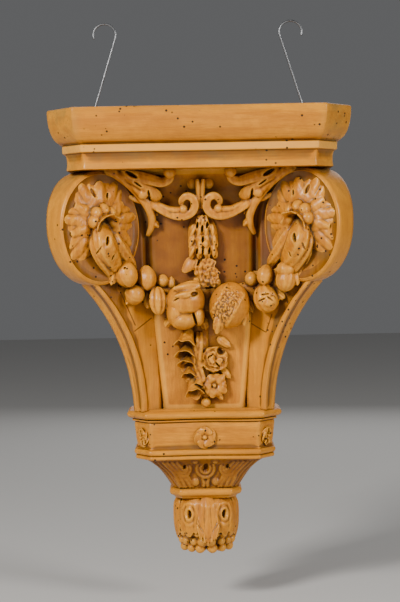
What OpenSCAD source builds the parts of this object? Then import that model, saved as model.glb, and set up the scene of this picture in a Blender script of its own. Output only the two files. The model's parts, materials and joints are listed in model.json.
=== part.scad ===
// Carved wooden wall corbel: a moulded top over a carved body with two turned
// volutes, a garland of fruit, a panelled foot and a leaf finial. It hangs on
// two S hooks through screw eyes. Millimetres; the wall is the plane y = 0 and
// the front looks along -Y.

/* [Whole] */
// Height of the wood, from the top face to the lowest berry
wood_h = 508; // [490:1:560]
// Turn of the canted corners and of the volute faces, from the wall
cant = 55; // [50:1:60]

/* [Moulded top] */
// Depth of the top, from the wall to its front face
top_depth = 165; // [155:1:200]
// Half width of the front face, between its canted corners
top_front_half = 137; // [120:1:160]
// Half width of the whole top
top_outer_half = 167; // [155:1:190]
// Height of the big rounded moulding
ovolo_h = 38; // [25:1:50]
// How far the rounded moulding draws in at its foot
ovolo_in = 14; // [8:1:20]
// Height of the square fillet under it
fillet_h = 10; // [6:1:16]
// Height of the hollowed band under the fillet
band_h = 18; // [12:1:28]
// How far the band stands back from the top's edge
band_in = 20; // [18:1:26]

/* [Body] */
// Depth of the panel at its foot
panel_foot_v = 66; // [60:1:80]
// Depth of the panel at the height of the volutes
panel_mid_v = 75; // [70:1:90]
// Depth of the panel where its cove meets the top
panel_top_v = 105; // [95:1:125]
// Half width of the panel at its foot
panel_half = 52; // [45:1:60]

/* [Volutes] */
// Half width of a volute's face, along the face
volute_a = 52; // [46:1:56]
// Half height of a volute's face
volute_b = 63.5; // [56:0.5:68]
// Distance of the volute's centre from the panel's edge, along the face
volute_s = 75; // [72:1:84]
// Thickness of the volute's roll at its side
roll_w = 24; // [18:1:30]
// Extra thickness of the roll where it runs under the top
roll_flare = 18; // [10:1:30]
// How far the volute's face stands proud of the console's side
volute_proud = 6; // [4:1:9]
// Number of leaves round each rosette
rosette_leaves = 9; // [7:1:11]
// Width of the console's foot, along its side
foot_s = 22; // [18:1:26]
// Thickness of the console at its foot
foot_w = 17; // [14:1:20]
// Radius of the console's hollow sweep
sweep_r = 200; // [180:1:240]

/* [Foot] */
// Height of the rounded moulding between the panel and the foot
torus_h = 16; // [12:1:22]
// Height of the panelled band with the three small rosettes
base_h = 29; // [24:1:36]
// Depth of that band
base_depth = 80; // [76:1:95]
// Half width of that band's front face
base_front_half = 63; // [56:1:70]
// Half width of the whole band
base_outer_half = 81; // [76:1:90]
// How far the band draws in at its foot
base_taper = 5; // [2:1:8]
// Height of the small moulding under that band
lower_mould_h = 12; // [9:1:16]
// Height of the leafy bell under the band
bell_h = 36; // [30:1:44]
// Half width of the neck under the bell
neck_outer_half = 38; // [34:1:44]
// Half width of the neck's front face
neck_front_half = 28; // [24:1:32]
// Depth of the neck
neck_depth = 46; // [42:1:54]
// Height of the bead round the neck
neck_h = 11; // [8:1:14]
// Height of the finial
finial_h = 67; // [56:1:80]
// Largest radius of the finial
finial_r = 38; // [34:1:42]
// Distance of the finial's centre line from the wall
finial_v = 10; // [4:1:16]
// Number of leaves round the finial
finial_leaves = 5; // [3:2:7]

/* [Garland] */
// Radius of the apple, the largest fruit
apple_r = 22; // [16:1:25]
// Radius of the seed head beside it
seed_head_r = 21; // [16:1:25]
// Radius of the smaller fruit
nut_r = 10; // [8:0.5:12]
// How far the garland stands off the panel
garland_lift = 18; // [12:1:24]
// Thickness of the leafy cord that carries the fruit
cord_w = 20; // [16:1:24]

/* [Hanging hooks] */
// Half distance between the two hooks
hook_half = 108; // [90:1:130]
// Thickness of the hook wire
hook_wire = 2.6; // [2:0.1:4]
// Radius of the hook's crooks, to the middle of the wire
crook_r = 13; // [10:0.5:16]
// Height of the hook, to the middle of the wire
hook_h = 113; // [90:1:130]
// Distance of the hooks from the wall
hook_v = 10; // [8:1:30]
// Width of the notch that the hook hangs in
notch_w = 36; // [32:1:44]
// Depth of the notch, from the wall
notch_v = 20; // [18:1:40]
// Height of the notch
notch_h = 15; // [12:1:20]
// Thickness of the screw eye's wire
eye_wire = 2.4; // [2:0.1:3]
// Radius of the screw eye's ring, to the middle of the wire
eye_r = 5; // [4.5:0.1:7]
// Length of the screw in the wood
eye_screw = 18; // [12:1:30]
// Gap between the screw and its hole in the wood
screw_clearance = 0.1; // [0.05:0.05:0.3]
// Gap left between the hook and the eye that it hangs in
hang_gap = 0.2; // [0.1:0.05:0.3]

/* [Hidden] */

top_z = wood_h / 2;
top_h = ovolo_h + fillet_h + band_h;
turn = 90 - cant;                       // turn of the console's side from the wall plane
body_top = top_z - top_h;
volute_z = body_top - volute_b;         // centre of the volutes
foot_z = -top_z + finial_h + neck_h + bell_h + lower_mould_h + base_h + torus_h; // under the consoles
embed = 6;                              // how far the panel's sides run behind the consoles
honey = [0.78, 0.55, 0.26];

// ---- general shapes ---------------------------------------------------------

function clamp01(x) = max(0, min(1, x));
function mix(a, b, t) = a + (b - a) * t;

// A closed solid through rings of points; each ring runs clockwise seen from its start.
module loft(rings) {
    n = len(rings[0]);
    m = len(rings);
    sides = [for (i = [0 : m - 2], j = [0 : n - 1])
        let (a = i * n + j, b = i * n + (j + 1) % n)
        each [[a, b, b + n], [a, b + n, a + n]]];
    start = [for (j = [n - 1 : -1 : 0]) j];
    end = [for (j = [0 : n - 1]) (m - 1) * n + j];
    polyhedron([for (r = rings) each r], concat([start], sides, [end]));
}

// Plan of a moulding with canted corners, drawn in by t and flat against the wall.
function canted_plan(front, outer, depth, t, z) =
    let (f = front - t * tan(cant / 2), o = outer - t, d = depth - t,
         c = d - (o - f) * tan(cant))
    [[-o, 0, z], [-o, -c, z], [-f, -d, z], [f, -d, z], [o, -c, z], [o, 0, z]];

// Half-round moulding: [height, inset] pairs from z0 down to z1 that bulge out by b.
function roll(z0, z1, t, b, n = 5) =
    [for (i = [0 : n]) let (a = 180 * i / n)
        [(z0 + z1) / 2 + (z0 - z1) / 2 * cos(a), t - b * sin(a)]];

// An egg of radii a, b and c.
module egg(a, b, c, sides = 10) {
    scale([a, b, c]) sphere(r = 1, $fn = sides);
}

// A round limb through points of [x, y, z], with a radius at each. Its run stays off the
// y axis, so every ring takes one of its directions from there.
module limb(points, radii, sides = 8) {
    n = len(points) - 1;
    loft([for (i = [0 : n])
        let (run = points[min(i + 1, n)] - points[max(i - 1, 0)],
             along = run / norm(run),
             across = cross(along, [0, 1, 0]),
             e1 = across / norm(across),
             e2 = cross(along, e1))
        [for (j = [0 : sides - 1]) let (a = -360 * j / sides)
            points[i] + radii[i] * (e1 * cos(a) + e2 * sin(a))]]);
}

// A flower lying in the xy plane: a low dome with scalloped edge and a boss in its middle.
module blossom(r, height, petals, cut = 0.2, per_petal = 3) {
    sides = petals * per_petal;
    profile = [[0.95, -0.8, 1], [1, 0.3, 1], [0.75, 1, 0.8], [0.38, 0.5, 0.2], [0.22, 1.15, 0]];
    loft([for (p = profile)
        [for (j = [0 : sides - 1])
            let (a = -360 * j / sides, notch = 1 - cut * p[2] * pow(abs(cos(petals * a / 2)), 3))
            [r * p[0] * notch * cos(a), r * p[0] * notch * sin(a), height * p[1]]]]);
}

module both_sides() {
    children();
    mirror([1, 0, 0]) children();
}

// ---- moulded top ------------------------------------------------------------

module moulded_top() {
    steps = 9;
    reveal = 2;                         // step back under the rounded moulding
    ovolo = [for (i = [0 : steps]) let (a = 90 * i / steps)
        [top_z - ovolo_h * sin(a), ovolo_in * (1 - cos(a))]];
    under = top_z - ovolo_h;
    cove_h = 5;
    cove = [for (i = [0 : 3]) let (a = 30 * i)
        [under - fillet_h - cove_h * sin(a), mix(ovolo_in + 1.5 * reveal, band_in, 1 - cos(a))]];
    profile = concat(ovolo,
        [[under - 0.5, ovolo_in + reveal], [under - fillet_h, ovolo_in + reveal]],
        cove, [[body_top, band_in]]);
    loft([for (p = profile) canted_plan(top_front_half, top_outer_half, top_depth, p[1], p[0])]);
}

// A notch in the top's back edge for each hook, with a pilot hole for its screw eye.
module hook_notch() {
    floor_z = top_z - notch_h;
    translate([hook_half - notch_w / 2, -notch_v, floor_z]) cube([notch_w, notch_v + 1, notch_h + 1]);
    translate([hook_half, -hook_v, floor_z - eye_screw])
        cylinder(r = (eye_wire / 2 + screw_clearance) / cos(15), h = eye_screw + 1, $fn = 12);
}

// ---- carved body: the architecture ------------------------------------------

// Depth of the panel at height z: a slow hollow, with a cove under the top.
function panel_v(z) =
    let (cove_z = volute_z - 13, rise = clamp01((z - cove_z) / (body_top - cove_z)),
         t = clamp01((z - foot_z) / (cove_z - foot_z)))
    mix(panel_foot_v, panel_mid_v, sin(90 * t)) + (panel_top_v - panel_mid_v) * pow(rise, 3);

// Along the console's side: where its outer edge lies below the volute.
function sweep_s(z) = let (h = min(z - foot_z, sweep_r * 0.85))
    foot_s + sweep_r - sqrt(sweep_r * sweep_r - h * h);
function volute_edge_s(z) = let (k = clamp01(1 - pow((z - volute_z) / volute_b, 2)))
    volute_s + volute_a * sqrt(k);
function outer_s(z) = z > volute_z - volute_b * 0.98 ? volute_edge_s(z) : sweep_s(z);

// Thickness of the roll, and of the console's band below it.
function roll_at(z) = let (k = clamp01((z - volute_z + 20) / (volute_b + 20)))
    roll_w + roll_flare * k * k;
function band_w(z) = z > volute_z - volute_b ? roll_at(z)
    : mix(foot_w, roll_w + 3, clamp01((z - foot_z) / (volute_z - volute_b - foot_z)));

// Console coordinates: s along its side, n out of it, to x and -y.
function console_x(s, n) = panel_half + s * cos(turn) - n * sin(turn);
function console_v(s, n) = panel_foot_v + s * sin(turn) + n * cos(turn);

// Depth of the carved ground at x and z: the panel, or the console's side beyond it.
function ground_v(x, z) = max(panel_v(z), panel_foot_v + max(0, abs(x) - panel_half) * tan(turn));

// A place on the ground at x, so far below the body's top and lifted off the ground.
function on_ground(x, drop, lift) =
    [x, -ground_v(x, body_top - drop) - lift, body_top - drop];

module on_console() {
    translate([panel_half, -panel_foot_v, 0]) rotate([90, 0, -turn]) children();
}

function core_ring(z) =
    let (side_in = 6, lap = 4, w = band_w(z), s = outer_s(z) - side_in / cos(turn),
         x = console_x(s, -w), v = console_v(s, -w) + lap,
         p = panel_v(z), px = min(x - 2, panel_half + (p - panel_foot_v) / tan(turn) + embed))
    [[-x, 0, z], [-x, -v, z], [-px, -p, z], [px, -p, z], [x, -v, z], [x, 0, z]];

module core() {
    heights = concat(
        [for (a = [0 : 20 : 160]) volute_z + volute_b * cos(a)],
        [for (i = [0 : 6]) mix(volute_z - volute_b * 0.99, foot_z - 2, i / 6)]);
    loft([for (z = heights) core_ring(z)]);
}

// The console below the volute, with a raised border along its outer edge.
module console_stem() {
    border = 7;
    raise = 1.6;
    top = volute_z - volute_b * 0.8;
    on_console() loft([for (i = [0 : 9])
        let (z = mix(top, foot_z - 1, i / 9), s = sweep_s(z), w = band_w(z))
        [[-4, z, 0], [s - border, z, 0], [s - border + 1, z, raise], [s, z, raise],
         [s, z, -w], [-4, z, -w]]]);
}

function oval(k, n, sides, a0 = 0) = [for (i = [0 : sides - 1]) let (a = -360 * i / sides + a0)
    [volute_s + volute_a * k * cos(a), volute_z + volute_b * k * sin(a), n]];

// The turned end of the console: an oval drum whose face is sunk inside a thin rim.
module volute() {
    sides = 28;
    back = [for (p = oval(1, 0, sides)) [p[0], p[1], -roll_at(p[1])]];
    on_console() loft([oval(0.2, -roll_w - 6, sides), back, oval(1, volute_proud - 2, sides),
        oval(0.985, volute_proud, sides), oval(0.945, volute_proud, sides),
        oval(0.92, volute_proud - 2.5, sides)]);
}

// ---- carved body: the ornament ----------------------------------------------

module rosette() {
    on_console() translate([volute_s - 1, volute_z + 5, volute_proud - 2]) scale([0.84, 1, 1]) {
        blossom(volute_b * 0.9, 10, rosette_leaves, 0.25);
    }
}

// The bell that the garland hangs from, and the husk that drops out of it.
module calyx() {
    on_console() translate([volute_s, volute_z + 6, volute_proud - 2]) blossom(19, 17, 5, 0.2);
    husk = [[0, 4, 13, 8], [-6, -10, 17, 12], [-13, -28, 15, 12.5], [-22, -44, 7, 8]];
    on_console() translate([volute_s, volute_z, volute_proud])
        for (i = [0 : len(husk) - 2]) hull()
            for (p = [husk[i], husk[i + 1]])
                translate([p[0], p[1], p[2]]) sphere(r = p[3], $fn = 6);
}

// Leaf scrolls under the top: [x, drop below the body's top, lift off the panel, radius].
scroll_span = console_x(volute_s, 0);                // from the middle to the volute's centre
lower_scroll = [[0.9, 4, 1, 7], [0.78, 9, 5, 9], [0.63, 19, 10, 8.5], [0.52, 32, 15, 7.5], [0.43, 46, 19, 6],
                [0.31, 53, 20, 5.5], [0.17, 54, 20, 5], [0.07, 47, 20, 4.5], [0.07, 36, 17, 4.2],
                [0.15, 31, 15, 4], [0.21, 37, 16, 4]];
upper_scroll = [[0.86, 4, 12, 7], [0.7, 8, 14, 7], [0.54, 12, 14, 5], [0.4, 14, 14, 5], [0.33, 6, 11, 7]];
rim_leaf = [[0.8, 14, 2, 5], [0.69, 30, 6, 7], [0.61, 50, 8, 6.5], [0.56, 68, 6, 5], [0.54, 80, 4, 3]];

module leaf_scroll() {
    for (path = [lower_scroll, upper_scroll, rim_leaf])
        limb([for (p = path) on_ground(p[0] * scroll_span, p[1], p[2])], [for (p = path) p[3]], 6);
    for (p = [[0.52, 22, 12, 9], [0.42, 29, 13, 8]])
        translate(on_ground(p[0] * scroll_span, p[1], p[2])) egg(p[3], p[3], p[3] * 1.2, 8);
}

// The bundle of husks and blossoms between the scrolls: [drop, lift, radius].
upper_stem = [[18, 8, 4], [42, 7, 6], [60, 6, 12], [86, 5, 15], [112, 3, 13], [128, 2, 8]];

module upper_drop() {
    limb([for (p = upper_stem) on_ground(0, p[0], p[1])], [for (p = upper_stem) p[2]], 8);
    for (row = [0 : 3], i = [-1 : 1])
        translate(on_ground(i * (5.5 + row), 60 + 9 * row, 17 - abs(i) * 4)) egg(4.4, 5, 8.5, 6);
    translate(on_ground(3, 110, 14)) rotate([90, 0, 0]) blossom(13, 6, 5, 0.25, 2);
    translate(on_ground(-17, 96, 7)) rotate([0, 35, 0]) egg(6, 6, 11, 8);
}

// The garland hangs from husk to husk. Its smaller fruit: [share of the half span, drop,
// lift, size, stretch, lean].
half_span = console_x(volute_s - 18, 8);
small_fruit = [
    [-0.86, 107, 12, 1.02, 1.20, -20], [-0.63, 111, 20, 1.05, 1.10, 0], [-0.46, 123, 13, 0.75, 1.00, 0],
    [-0.76, 131, 12, 0.95, 1.00, 50], [-0.53, 138, 20, 0.95, 1.45, -8], [0.49, 122, 13, 0.80, 1.00, 0],
    [0.64, 109, 20, 0.95, 1.10, 0], [0.90, 112, 12, 1.00, 1.15, 0], [0.69, 137, 17, 1.35, 1.00, 0]];
cord_run = [[0.98, 96, 0.3], [0.86, 110, 0.5], [0.67, 124, 0.5], [0.37, 138, 0.5], [0, 144, 0.5]];

module garland() {
    for (f = small_fruit) translate(on_ground(f[0] * half_span, f[1], f[2]))
        rotate([0, f[5], 0]) egg(nut_r * f[3], nut_r * f[3], nut_r * f[3] * f[4], 7);
    translate(on_ground(0.5 - apple_r, 143, garland_lift)) egg(apple_r, apple_r * 0.95, apple_r * 1.05, 10);
    translate(on_ground(8 + seed_head_r, 145, garland_lift))
        egg(seed_head_r, seed_head_r * 0.95, seed_head_r * 1.1, 10);
    run = concat(cord_run, [for (i = [3 : -1 : 0]) [-cord_run[i][0], cord_run[i][1], cord_run[i][2]]]);
    limb([for (p = run) on_ground(p[0] * half_span, p[1], cord_w / 3)], [for (p = run) cord_w * p[2]], 6);
}

// Bell flowers and blossoms that hang under the garland: [x, drop, lift, radius].
lower_stem = [[0, 148, 6, 9], [0, 180, 5, 12], [1, 210, 4, 11], [2, 240, 3, 8], [3, 256, 3, 4]];
drop_buds = [[-20, 172, 6, 9.5], [-17, 187, 7, 8.5], [-15, 202, 7, 7.5], [-9, 220, 7, 8], [2, 248, 6, 6.5]];

module lower_drop() {
    limb([for (p = lower_stem) on_ground(p[0], p[1], p[2])], [for (p = lower_stem) p[3]], 8);
    for (p = drop_buds) translate(on_ground(p[0], p[1], p[2])) egg(p[3], 9, p[3], 6);
    translate(on_ground(15, 190, 10)) rotate([90, 0, 0]) blossom(17, 7, 5, 0.25, 2);
    translate(on_ground(11, 222, 8)) rotate([90, 0, 0]) blossom(14, 6, 5, 0.25, 2);
}

// ---- carved body: foot and finial -------------------------------------------

bell_z = foot_z - torus_h - base_h - lower_mould_h;   // top of the bell
neck_z = bell_z - bell_h;                             // top of the neck's bead

module foot() {
    band_z = foot_z - torus_h;
    mould_z = band_z - base_h;
    bulge = 7;                          // of the torus, and half of it for the fillet under it
    profile = concat([[foot_z + 1, 3]], roll(foot_z, foot_z - 10, 1, bulge),
        [[foot_z - 10.8, 1], [foot_z - 11.4, -bulge / 2], [band_z + 0.8, -bulge / 2], [band_z, 0],
         [mould_z, base_taper]],
        roll(mould_z - 0.5, mould_z - 6.5, base_taper - 1, 3, 4),
        [[mould_z - 7.2, base_taper], [mould_z - 8, 3], [bell_z + 0.6, 3], [bell_z, base_taper + 3]]);
    loft([for (p = profile) canted_plan(base_front_half, base_outer_half, base_depth, p[1], p[0])]);
}

// Plan of the bell at x, from its neck to the lower moulding, which overhangs it.
function bell_ring(x) =
    let (f = 0.65 * x + 0.35 * pow(x, 5), overhang = 8)
    canted_plan(mix(neck_front_half, base_front_half - overhang, f),
        mix(neck_outer_half, base_outer_half - overhang, f),
        mix(neck_depth, base_depth - overhang, f), 0, neck_z + bell_h * x);

module bell() {
    loft([for (i = [6 : -1 : 0]) bell_ring(i / 6 + (i == 6 ? 0.02 : 0))]);
    loft([for (p = concat([[neck_z + 1, 1]], roll(neck_z, neck_z - neck_h + 1, 0, 4), [[neck_z - neck_h, 2]]))
        canted_plan(neck_front_half, neck_outer_half, neck_depth, p[1], p[0])]);
    for (i = [-3 : 3]) hull()
        for (step = [[0.12, 5.5], [0.72, 6.5]]) {
            r = bell_ring(step[0]);
            translate([r[4][0] * i / 4.2, r[3][1] + 2 + 9 * step[0] * max(0, abs(i) - 1.6), r[0][2]])
                sphere(r = step[1], $fn = 6);
        }
}

function finial_profile(t) = finial_r * sqrt(max(0.02, 1 - pow(abs((t - 0.36) / 0.66), 2.6)));

// The finial's ring at t, from its top to its foot; each leaf swells and its edges sink.
function finial_ring(t) =
    let (fade = sin(180 * clamp01(t / 0.9)), count = finial_leaves, sides = count * 3)
    [for (i = [0 : sides])
        let (q = i / sides, lobe = abs(sin(180 * count * q)),
             r = finial_profile(t) * (0.9 + 0.1 * lobe * fade + 0.1 * (1 - fade)),
             open = acos(-min(1, finial_v / r)), a = -open + 2 * open * q)
        [r * sin(a), -max(0, finial_v + r * cos(a)), neck_z - neck_h + 1 - finial_h * t]];

// Leaves that hug the finial, over a cluster of berries at its foot.
module finial() {
    loft([for (t = [0 : 0.13 : 0.91]) finial_ring(t)]);
    for (row = [0 : 2]) {
        count = 6 - row;
        r = [27, 19, 9][row];
        for (i = [0 : count - 1]) {
            a = -78 + 156 * (i + 0.5) / count;
            translate([r * sin(a), -finial_v - r * cos(a), -top_z + [20, 12, 6][row]]) egg(6, 6, 6, 6);
        }
    }
}

// Three small roses on the band: one in front and one on each canted face.
module band_roses() {
    z = foot_z - torus_h - base_h / 2;
    inset = base_taper / 2;
    f = base_front_half - inset;
    o = base_outer_half - inset;
    d = base_depth - inset;
    middle = [(f + o) / 2, -(d - (o - f) * tan(cant) / 2), z];
    rose_at([0, -d, z], 0, 12);
    both_sides() rose_at(middle, cant, 10);
}

module rose_at(place, face_turn, r) {
    translate(place) rotate([90, 0, face_turn]) blossom(r, 4, 6, 0.3, 2);
}

module carved_corbel() {
    color(honey) difference() {
        union() {
            moulded_top();
            core();
            both_sides() {
                console_stem();
                volute();
                rosette();
                calyx();
                leaf_scroll();
            }
            upper_drop();
            garland();
            lower_drop();
            foot();
            bell();
            finial();
            band_roses();
        }
        both_sides() hook_notch();
    }
}

// ---- hanging hooks ----------------------------------------------------------

eye_neck = 3;                                        // plain neck under the eye's ring
eye_z = top_z - notch_h + eye_neck + eye_r;          // centre of the ring
hang_z = eye_z + eye_r - (eye_wire + hook_wire) / 2 - hang_gap; // wire's middle at its lowest point

// An S hook: an open crook above, a slanting shank, and a crook below through the eye.
// The shank touches both crooks' circles, on opposite sides.
module s_hook() {
    rise = hook_h - 2 * crook_r;                     // between the centres of the crooks
    lean = asin(2 * crook_r / rise);                 // of the shank, from upright
    sweep = 200 + lean;
    steps = 12;
    low_z = hang_z + crook_r;
    low = [for (i = [steps : -1 : 0]) let (a = 180 - lean + sweep * i / steps)
        [crook_r * cos(a), 0, low_z + crook_r * sin(a)]];
    high = [for (i = [0 : steps]) let (a = -lean + sweep * i / steps)
        [crook_r * cos(a), 0, low_z + rise + crook_r * sin(a)]];
    path = concat(low, high);
    limb(path, [for (p = path) hook_wire / 2], 7);
}

module s_hook_left() {
    color("silver") translate([-hook_half, -hook_v, 0]) s_hook();
}

module s_hook_right() {
    color("silver") translate([hook_half, -hook_v, 0]) mirror([1, 0, 0]) s_hook();
}

module screw_eye() {
    translate([0, 0, eye_z]) rotate([0, 90, 0])
        rotate_extrude($fn = 64) translate([eye_r, 0]) circle(d = eye_wire, $fn = 24);
    into_ring = eye_wire / 4;                        // the neck ends inside the ring's wire
    translate([0, 0, top_z - notch_h - eye_screw])
        cylinder(d = eye_wire, h = eye_screw + eye_neck + into_ring, $fn = 24);
}

module screw_eye_left() {
    color("silver") translate([-hook_half, -hook_v, 0]) screw_eye();
}

module screw_eye_right() {
    color("silver") translate([hook_half, -hook_v, 0]) screw_eye();
}

carved_corbel();
s_hook_left();
s_hook_right();
screw_eye_left();
screw_eye_right();
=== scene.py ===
# %% [markdown]
# # A carved wooden corbel
# A wall bracket of old waxed limewood: a moulded shelf, two turned volutes with rosettes, a
# garland of fruit, a panelled foot and a leaf finial. It hangs from two steel S hooks.
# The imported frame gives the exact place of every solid, so it is loaded first. Every length
# below is in millimetres, in the frame's own axes, and becomes metres when a mesh is made.

# %% The frame, and the sizes that the carving follows
import json
import math

import bpy
import bmesh
import numpy as np
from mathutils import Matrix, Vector

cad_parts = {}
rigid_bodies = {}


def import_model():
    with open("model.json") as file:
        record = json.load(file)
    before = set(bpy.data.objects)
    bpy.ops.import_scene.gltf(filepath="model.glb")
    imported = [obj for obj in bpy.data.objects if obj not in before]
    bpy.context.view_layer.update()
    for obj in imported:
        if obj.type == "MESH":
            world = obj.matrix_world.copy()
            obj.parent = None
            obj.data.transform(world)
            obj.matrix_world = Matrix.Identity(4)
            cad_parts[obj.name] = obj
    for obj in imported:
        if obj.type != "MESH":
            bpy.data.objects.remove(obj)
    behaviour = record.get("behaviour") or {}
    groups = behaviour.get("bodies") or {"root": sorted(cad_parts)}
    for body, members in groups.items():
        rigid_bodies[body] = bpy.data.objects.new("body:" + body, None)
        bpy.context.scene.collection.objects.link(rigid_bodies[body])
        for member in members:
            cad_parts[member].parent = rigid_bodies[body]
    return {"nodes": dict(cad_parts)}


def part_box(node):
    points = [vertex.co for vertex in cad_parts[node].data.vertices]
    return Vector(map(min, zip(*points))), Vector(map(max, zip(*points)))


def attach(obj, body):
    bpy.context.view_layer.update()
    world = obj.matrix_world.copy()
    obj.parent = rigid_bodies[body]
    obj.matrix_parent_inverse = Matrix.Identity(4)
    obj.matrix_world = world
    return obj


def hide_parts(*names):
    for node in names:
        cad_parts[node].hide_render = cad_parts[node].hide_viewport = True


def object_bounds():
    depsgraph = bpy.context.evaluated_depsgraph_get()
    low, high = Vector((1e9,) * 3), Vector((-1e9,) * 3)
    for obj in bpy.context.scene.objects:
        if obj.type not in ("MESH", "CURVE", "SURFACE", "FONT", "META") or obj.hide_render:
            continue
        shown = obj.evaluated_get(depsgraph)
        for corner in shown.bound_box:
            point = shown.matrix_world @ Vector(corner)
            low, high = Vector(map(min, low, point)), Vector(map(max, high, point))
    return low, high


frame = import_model()
cad_low, cad_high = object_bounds()

MM = 0.001
corbel_low, corbel_high = (np.array(corner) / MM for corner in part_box("carved_corbel"))
TOP_Z = corbel_high[2]
SHELF_DEPTH = -corbel_low[1]
BODY_TOP = TOP_Z - 66
TURN = math.radians(35)              # of the consoles' inner sides, from the wall
CANT = math.radians(55)              # of the canted corners, from the wall
PANEL_HALF, PANEL_FOOT_V, PANEL_MID_V, PANEL_TOP_V = 52, 66, 75, 105
VOLUTE_A, VOLUTE_B, VOLUTE_S = 52, 63.5, 75
VOLUTE_Z = BODY_TOP - VOLUTE_B
VOLUTE_PROUD = 6
FOOT_Z = corbel_low[2] + 171         # finial, neck, bell, mouldings and band stand below it
OUT = np.array([0.0, -1.0, 0.0])     # towards the viewer
ARRIS = math.radians(38)             # faces that meet more steeply have a sharp edge
rng = np.random.default_rng(7)
print("shelf top", round(TOP_Z, 1), "depth", round(SHELF_DEPTH, 1), "volutes at", VOLUTE_Z)

# %% [markdown]
# ## Camera
# The bracket is seen straight on from about two metres, a little above its middle, and it
# hangs about one degree out of plumb. Turning the camera by that degree shows it as it hangs
# and leaves the model itself upright.

# %% Camera
CAMERA_Z, LOOK_X, LOOK_Z, LOOK_V, CAMERA_FAR = 98.3, -1.6, 42.2, 121.0, 1842.0
VIEW_HEIGHT = 662.2                  # what the long side of the view takes in, at LOOK_V
HANGS_OFF = math.radians(1.05)

camera = bpy.data.objects.new("camera", bpy.data.cameras.new("camera"))
bpy.context.scene.collection.objects.link(camera)
bpy.context.scene.camera = camera
camera.data.sensor_width = 36
camera.data.lens = 36 * CAMERA_FAR / VIEW_HEIGHT
camera.data.clip_start, camera.data.clip_end = 0.05, 50
tilt = math.atan2(CAMERA_Z - LOOK_Z, CAMERA_FAR)
camera.location = (LOOK_X * MM, -(LOOK_V + CAMERA_FAR) * MM, CAMERA_Z * MM)
camera.rotation_euler = (math.pi / 2 - tilt, HANGS_OFF, 0)
print("lens", round(camera.data.lens, 1))

# %% [markdown]
# ## The plan and profile functions
# The whole carving hangs on a few curves: the hollow of the panel, the sweep of the consoles
# and the oval of the volutes. Each could be drawn by hand as points, but as functions of the
# height they can be asked for the ground's depth anywhere, so that a leaf or a fruit can be
# laid on the wood without measuring.

# %% Curves of the body
def mix(a, b, t):
    """The value that lies the share t of the way from a to b."""
    return a + (b - a) * t


def panel_v(z):
    """Depth of the panel: a quarter sine from its foot, plus the cube of the rise in the cove."""
    cove_z = VOLUTE_Z - 13
    rise = np.clip((z - cove_z) / (BODY_TOP - cove_z), 0, 1)
    t = np.clip((z - FOOT_Z) / (cove_z - FOOT_Z), 0, 1)
    return mix(PANEL_FOOT_V, PANEL_MID_V, np.sin(np.pi / 2 * t)) + (PANEL_TOP_V - PANEL_MID_V) * rise**3


def sweep_s(z):
    """Width of a console below its volute: a circle's arc that flares upwards."""
    h = np.clip(z - FOOT_Z, 0, 170)
    return 22 + 200 - np.sqrt(200**2 - h * h)


def outer_s(z):
    """Outer edge of a console: the sweep, and above it the side of the oval volute."""
    k = np.clip(1 - ((z - VOLUTE_Z) / VOLUTE_B) ** 2, 0, 1)
    return np.where(z > VOLUTE_Z - VOLUTE_B * 0.98, VOLUTE_S + VOLUTE_A * np.sqrt(k), sweep_s(z))


def roll_at(z):
    """Thickness of the volute's roll: it swells as the square of the height, towards the shelf."""
    k = np.clip((z - VOLUTE_Z + 20) / (VOLUTE_B + 20), 0, 1)
    return 24 + 18 * k * k


def band_w(z):
    """Thickness of the console's outer band, from the foot up into the roll."""
    t = np.clip((z - FOOT_Z) / (VOLUTE_Z - VOLUTE_B - FOOT_Z), 0, 1)
    return np.where(z > VOLUTE_Z - VOLUTE_B, roll_at(z), mix(17, 27, t))


def ground_v(x, z):
    """Depth of the carved ground: the panel, or the console's side where that is further out."""
    return np.maximum(panel_v(z), PANEL_FOOT_V + np.maximum(0, np.abs(x) - PANEL_HALF) * math.tan(TURN))


def on_ground(x, z, lift=0.0):
    """The point at x and z that stands so far off the carved ground."""
    x, z, lift = np.broadcast_arrays(*(np.asarray(a, float) for a in (x, z, lift)))
    return np.stack([x, -ground_v(x, z) - lift, z], -1)


def console_point(side, s, n, z):
    """A console's own coordinates, s along its inner side and n out of it, as x, y and z."""
    s, n, z = np.broadcast_arrays(*(np.asarray(a, float) for a in (s, n, z)))
    x = PANEL_HALF + s * math.cos(TURN) - n * math.sin(TURN)
    v = PANEL_FOOT_V + s * math.sin(TURN) + n * math.cos(TURN)
    return np.stack([side * x, -v, z], -1)


def console_axes(side):
    """Unit vectors along and out of the console's inner side."""
    along = np.array([side * math.cos(TURN), -math.sin(TURN), 0])
    out = np.array([-side * math.sin(TURN), -math.cos(TURN), 0])
    return along, out


print("ground at the garland", on_ground(0, 40).round(1))

# %% [markdown]
# ## Closed forms from grids
# Almost everything here is a closed skin stretched over a grid of rings: a moulding is a
# profile carried round a plan, and a leaf, a fruit or a scroll is a limb carried along a
# curved path. One function closes the ends of such a grid, and one lays a limb.

# %% Helpers that make a closed skin
def closed_skin(rings):
    """Vertices and faces of rings (rows, points, 3): quads between rings, and a fan of
    triangles to the mean point of the first and of the last ring."""
    rows, cols = rings.shape[:2]
    verts = np.concatenate([rings.reshape(-1, 3), rings[0].mean(0)[None], rings[-1].mean(0)[None]])
    a = (np.arange(rows - 1)[:, None] * cols + np.arange(cols)).ravel()
    b = (np.arange(rows - 1)[:, None] * cols + (np.arange(cols) + 1) % cols).ravel()
    quads = np.stack([a, b, b + cols, a + cols], 1)
    j, k = np.arange(cols), (np.arange(cols) + 1) % cols
    last = (rows - 1) * cols
    start = np.stack([k, j, np.full(cols, rows * cols)], 1)
    end = np.stack([last + j, last + k, np.full(cols, rows * cols + 1)], 1)
    return verts, [quads, np.concatenate([start, end])]


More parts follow.
